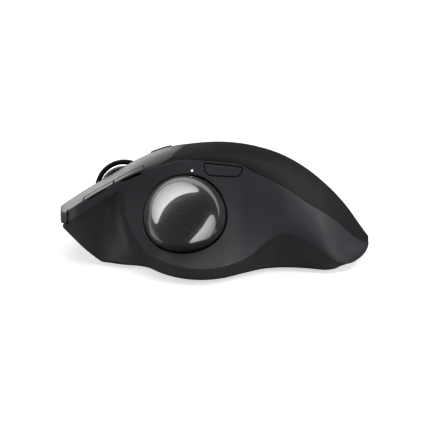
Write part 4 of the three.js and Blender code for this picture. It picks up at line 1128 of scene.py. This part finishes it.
# ---------------- studio
BODY_MIDDLE = Vector((0, 0, 25)) * MM
FLOOR_RADII = (250, 900, 4000)
FLOOR_SIDES = 256
CAMERA_TARGET = Vector((0.34, 0, 24)) * MM
CAMERA_DROP = 6.87 * MM
CAMERA_DISTANCE = 0.8
LENS, SENSOR = 155.65, 36.0
CARD_FADE = (0.3, 1.6)  # strength of a reflector from its inner to its outer edge
CAMERA_TILT = math.radians(15)
VIEW_RIGHT = Vector((1, 0, 0))
VIEW_UP = Vector((0, math.sin(CAMERA_TILT), math.cos(CAMERA_TILT)))
VIEW_TOWARD = Vector((0, -math.cos(CAMERA_TILT), math.sin(CAMERA_TILT)))
POLISHED = bpy.data.collections.new("polished_parts")
for name in ("thumb_ball", "wheel_rim_face"):
    POLISHED.objects.link(bpy.data.objects[name])
UNPOLISHED = bpy.data.collections.new("all_but_the_ball")
UNPOLISHED.objects.link(bpy.data.objects["thumb_ball"])
UNPOLISHED.collection_objects[0].light_linking.link_state = "EXCLUDE"


def make_floor():
    outline = np.vstack([circle(radius, FLOOR_SIDES) for radius in FLOOR_RADII])
    rows = np.arange(len(outline)).reshape(-1, FLOOR_SIDES)
    n = Nodes("studio_paper")
    tone = n.ramp(n.noise(40.0, 4.0), tint(PAPER_WHITE, 0.985), tint(PAPER_WHITE, 1.01))
    paper = n.finish(Base_Color=tone, Roughness=0.85, Normal=n.bump(n.noise(1.2, 3.0), 0.01),
                     Emission_Color=tone, Emission_Strength=0.75)
    points = np.column_stack([outline, 0 * outline[:, 0]])
    floor = mesh_object("studio_floor", points, [rows[0], *bands(rows)], paper)
    floor.location.z = -0.0002
    floor.visible_glossy = False


def soft_box(name, place, aim, size, power, across=None, shape="RECTANGLE"):
    """Flat light at a place, turned to its aim, with its long side along a direction."""
    light = bpy.data.lights.new(name, "AREA")
    light.shape = shape
    light.size, light.size_y = size
    light.energy = power
    lamp = bpy.data.objects.new(name, light)
    bpy.context.scene.collection.objects.link(lamp)
    back = (Vector(place) - Vector(aim)).normalized()
    side = Vector(across or (1, 0, 0))
    side = (side - back * side.dot(back)).normalized()
    turn = Matrix((side, back.cross(side), back)).transposed()
    lamp.matrix_world = Matrix.Translation(Vector(place)) @ turn.to_4x4()
    lamp.visible_camera = False
    return lamp


def body_box(name, place, size, power):
    """Soft box whose light leaves out the ball."""
    soft_box(name, place, BODY_MIDDLE, size, power).light_linking.receiver_collection = UNPOLISHED


def set_strength(tree, source, low, high, socket):
    """A strength that runs between two levels as a node's output runs from 0 to 1."""
    level = tree.nodes.new("ShaderNodeMapRange")
    level.inputs["To Min"].default_value, level.inputs["To Max"].default_value = low, high
    tree.links.new(source, level.inputs["Value"])
    tree.links.new(level.outputs["Result"], socket)


def ball_card(name, clock, spread, distance, size, radiance):
    """Reflector seen only in the ball, at an angle round the view and an angle away from it, in degrees."""
    clock, spread = math.radians(clock), math.radians(spread)
    outward = VIEW_RIGHT * math.cos(clock) + VIEW_UP * math.sin(clock)
    way = outward * math.sin(spread) + VIEW_TOWARD * math.cos(spread)
    along = VIEW_UP * math.cos(clock) - VIEW_RIGHT * math.sin(clock)
    middle = Vector(BALL_CENTRE) * MM
    power = radiance * math.pi * size[0] * size[1]
    lamp = soft_box(name, middle + way * distance, middle, size, power, along, "ELLIPSE")
    lamp.data.use_nodes = True
    tree = lamp.data.node_tree
    place = tree.nodes.new("ShaderNodeNewGeometry").outputs["Parametric"]
    parts = tree.nodes.new("ShaderNodeSeparateXYZ")
    tree.links.new(place, parts.inputs["Vector"])
    set_strength(tree, parts.outputs["Y"], *CARD_FADE, tree.nodes["Emission"].inputs["Strength"])
    lamp.light_linking.receiver_collection = POLISHED


def make_world(seen, felt):
    """Plain air: as bright as paper where the camera sees it, and dimmer as a light."""
    world = bpy.data.worlds.new("studio_air")
    bpy.context.scene.world = world
    world.use_nodes = True
    tree = world.node_tree
    back = tree.nodes["Background"]
    back.inputs["Color"].default_value = (1, 1, 1, 1)
    path = tree.nodes.new("ShaderNodeLightPath")
    set_strength(tree, path.outputs["Is Camera Ray"], felt, seen, back.inputs["Strength"])


def make_camera():
    data = bpy.data.cameras.new("photo_camera")
    data.lens, data.sensor_width = LENS, SENSOR
    data.clip_end = 20
    camera = bpy.data.objects.new("photo_camera", data)
    bpy.context.scene.collection.objects.link(camera)
    aim = CAMERA_TARGET - VIEW_UP * CAMERA_DROP
    camera.location = aim + VIEW_TOWARD * CAMERA_DISTANCE
    camera.rotation_euler = (-VIEW_TOWARD).to_track_quat("-Z", "Y").to_euler()
    bpy.context.scene.camera = camera


make_floor()
make_camera()
make_world(1.0, 0.09)
body_box("top_box", (0.0, -0.25, 1.3), (1.4, 1.4), 11.5)
body_box("rear_left_box", (-0.62, 0.78, 0.2), (1.2, 0.42), 3.6)
body_box("left_box", (-0.95, -0.3, 0.14), (0.4, 0.24), 2.0)
body_box("right_box", (0.95, -0.35, 0.33), (0.4, 0.5), 3.2)
body_box("shoulder_box", (0.73, 0.3, 0.72), (0.3, 0.4), 3.0)
ball_card("upper_left_card", 128, 87, 0.42, (1.9, 0.46), 3.3)
ball_card("lower_right_card", -38, 80, 0.42, (0.74, 0.34), 2.4)
ball_card("behind_card", 0, 180, 0.5, (3.0, 3.0), 0.7)
bpy.context.scene.view_settings.view_transform = "Standard"
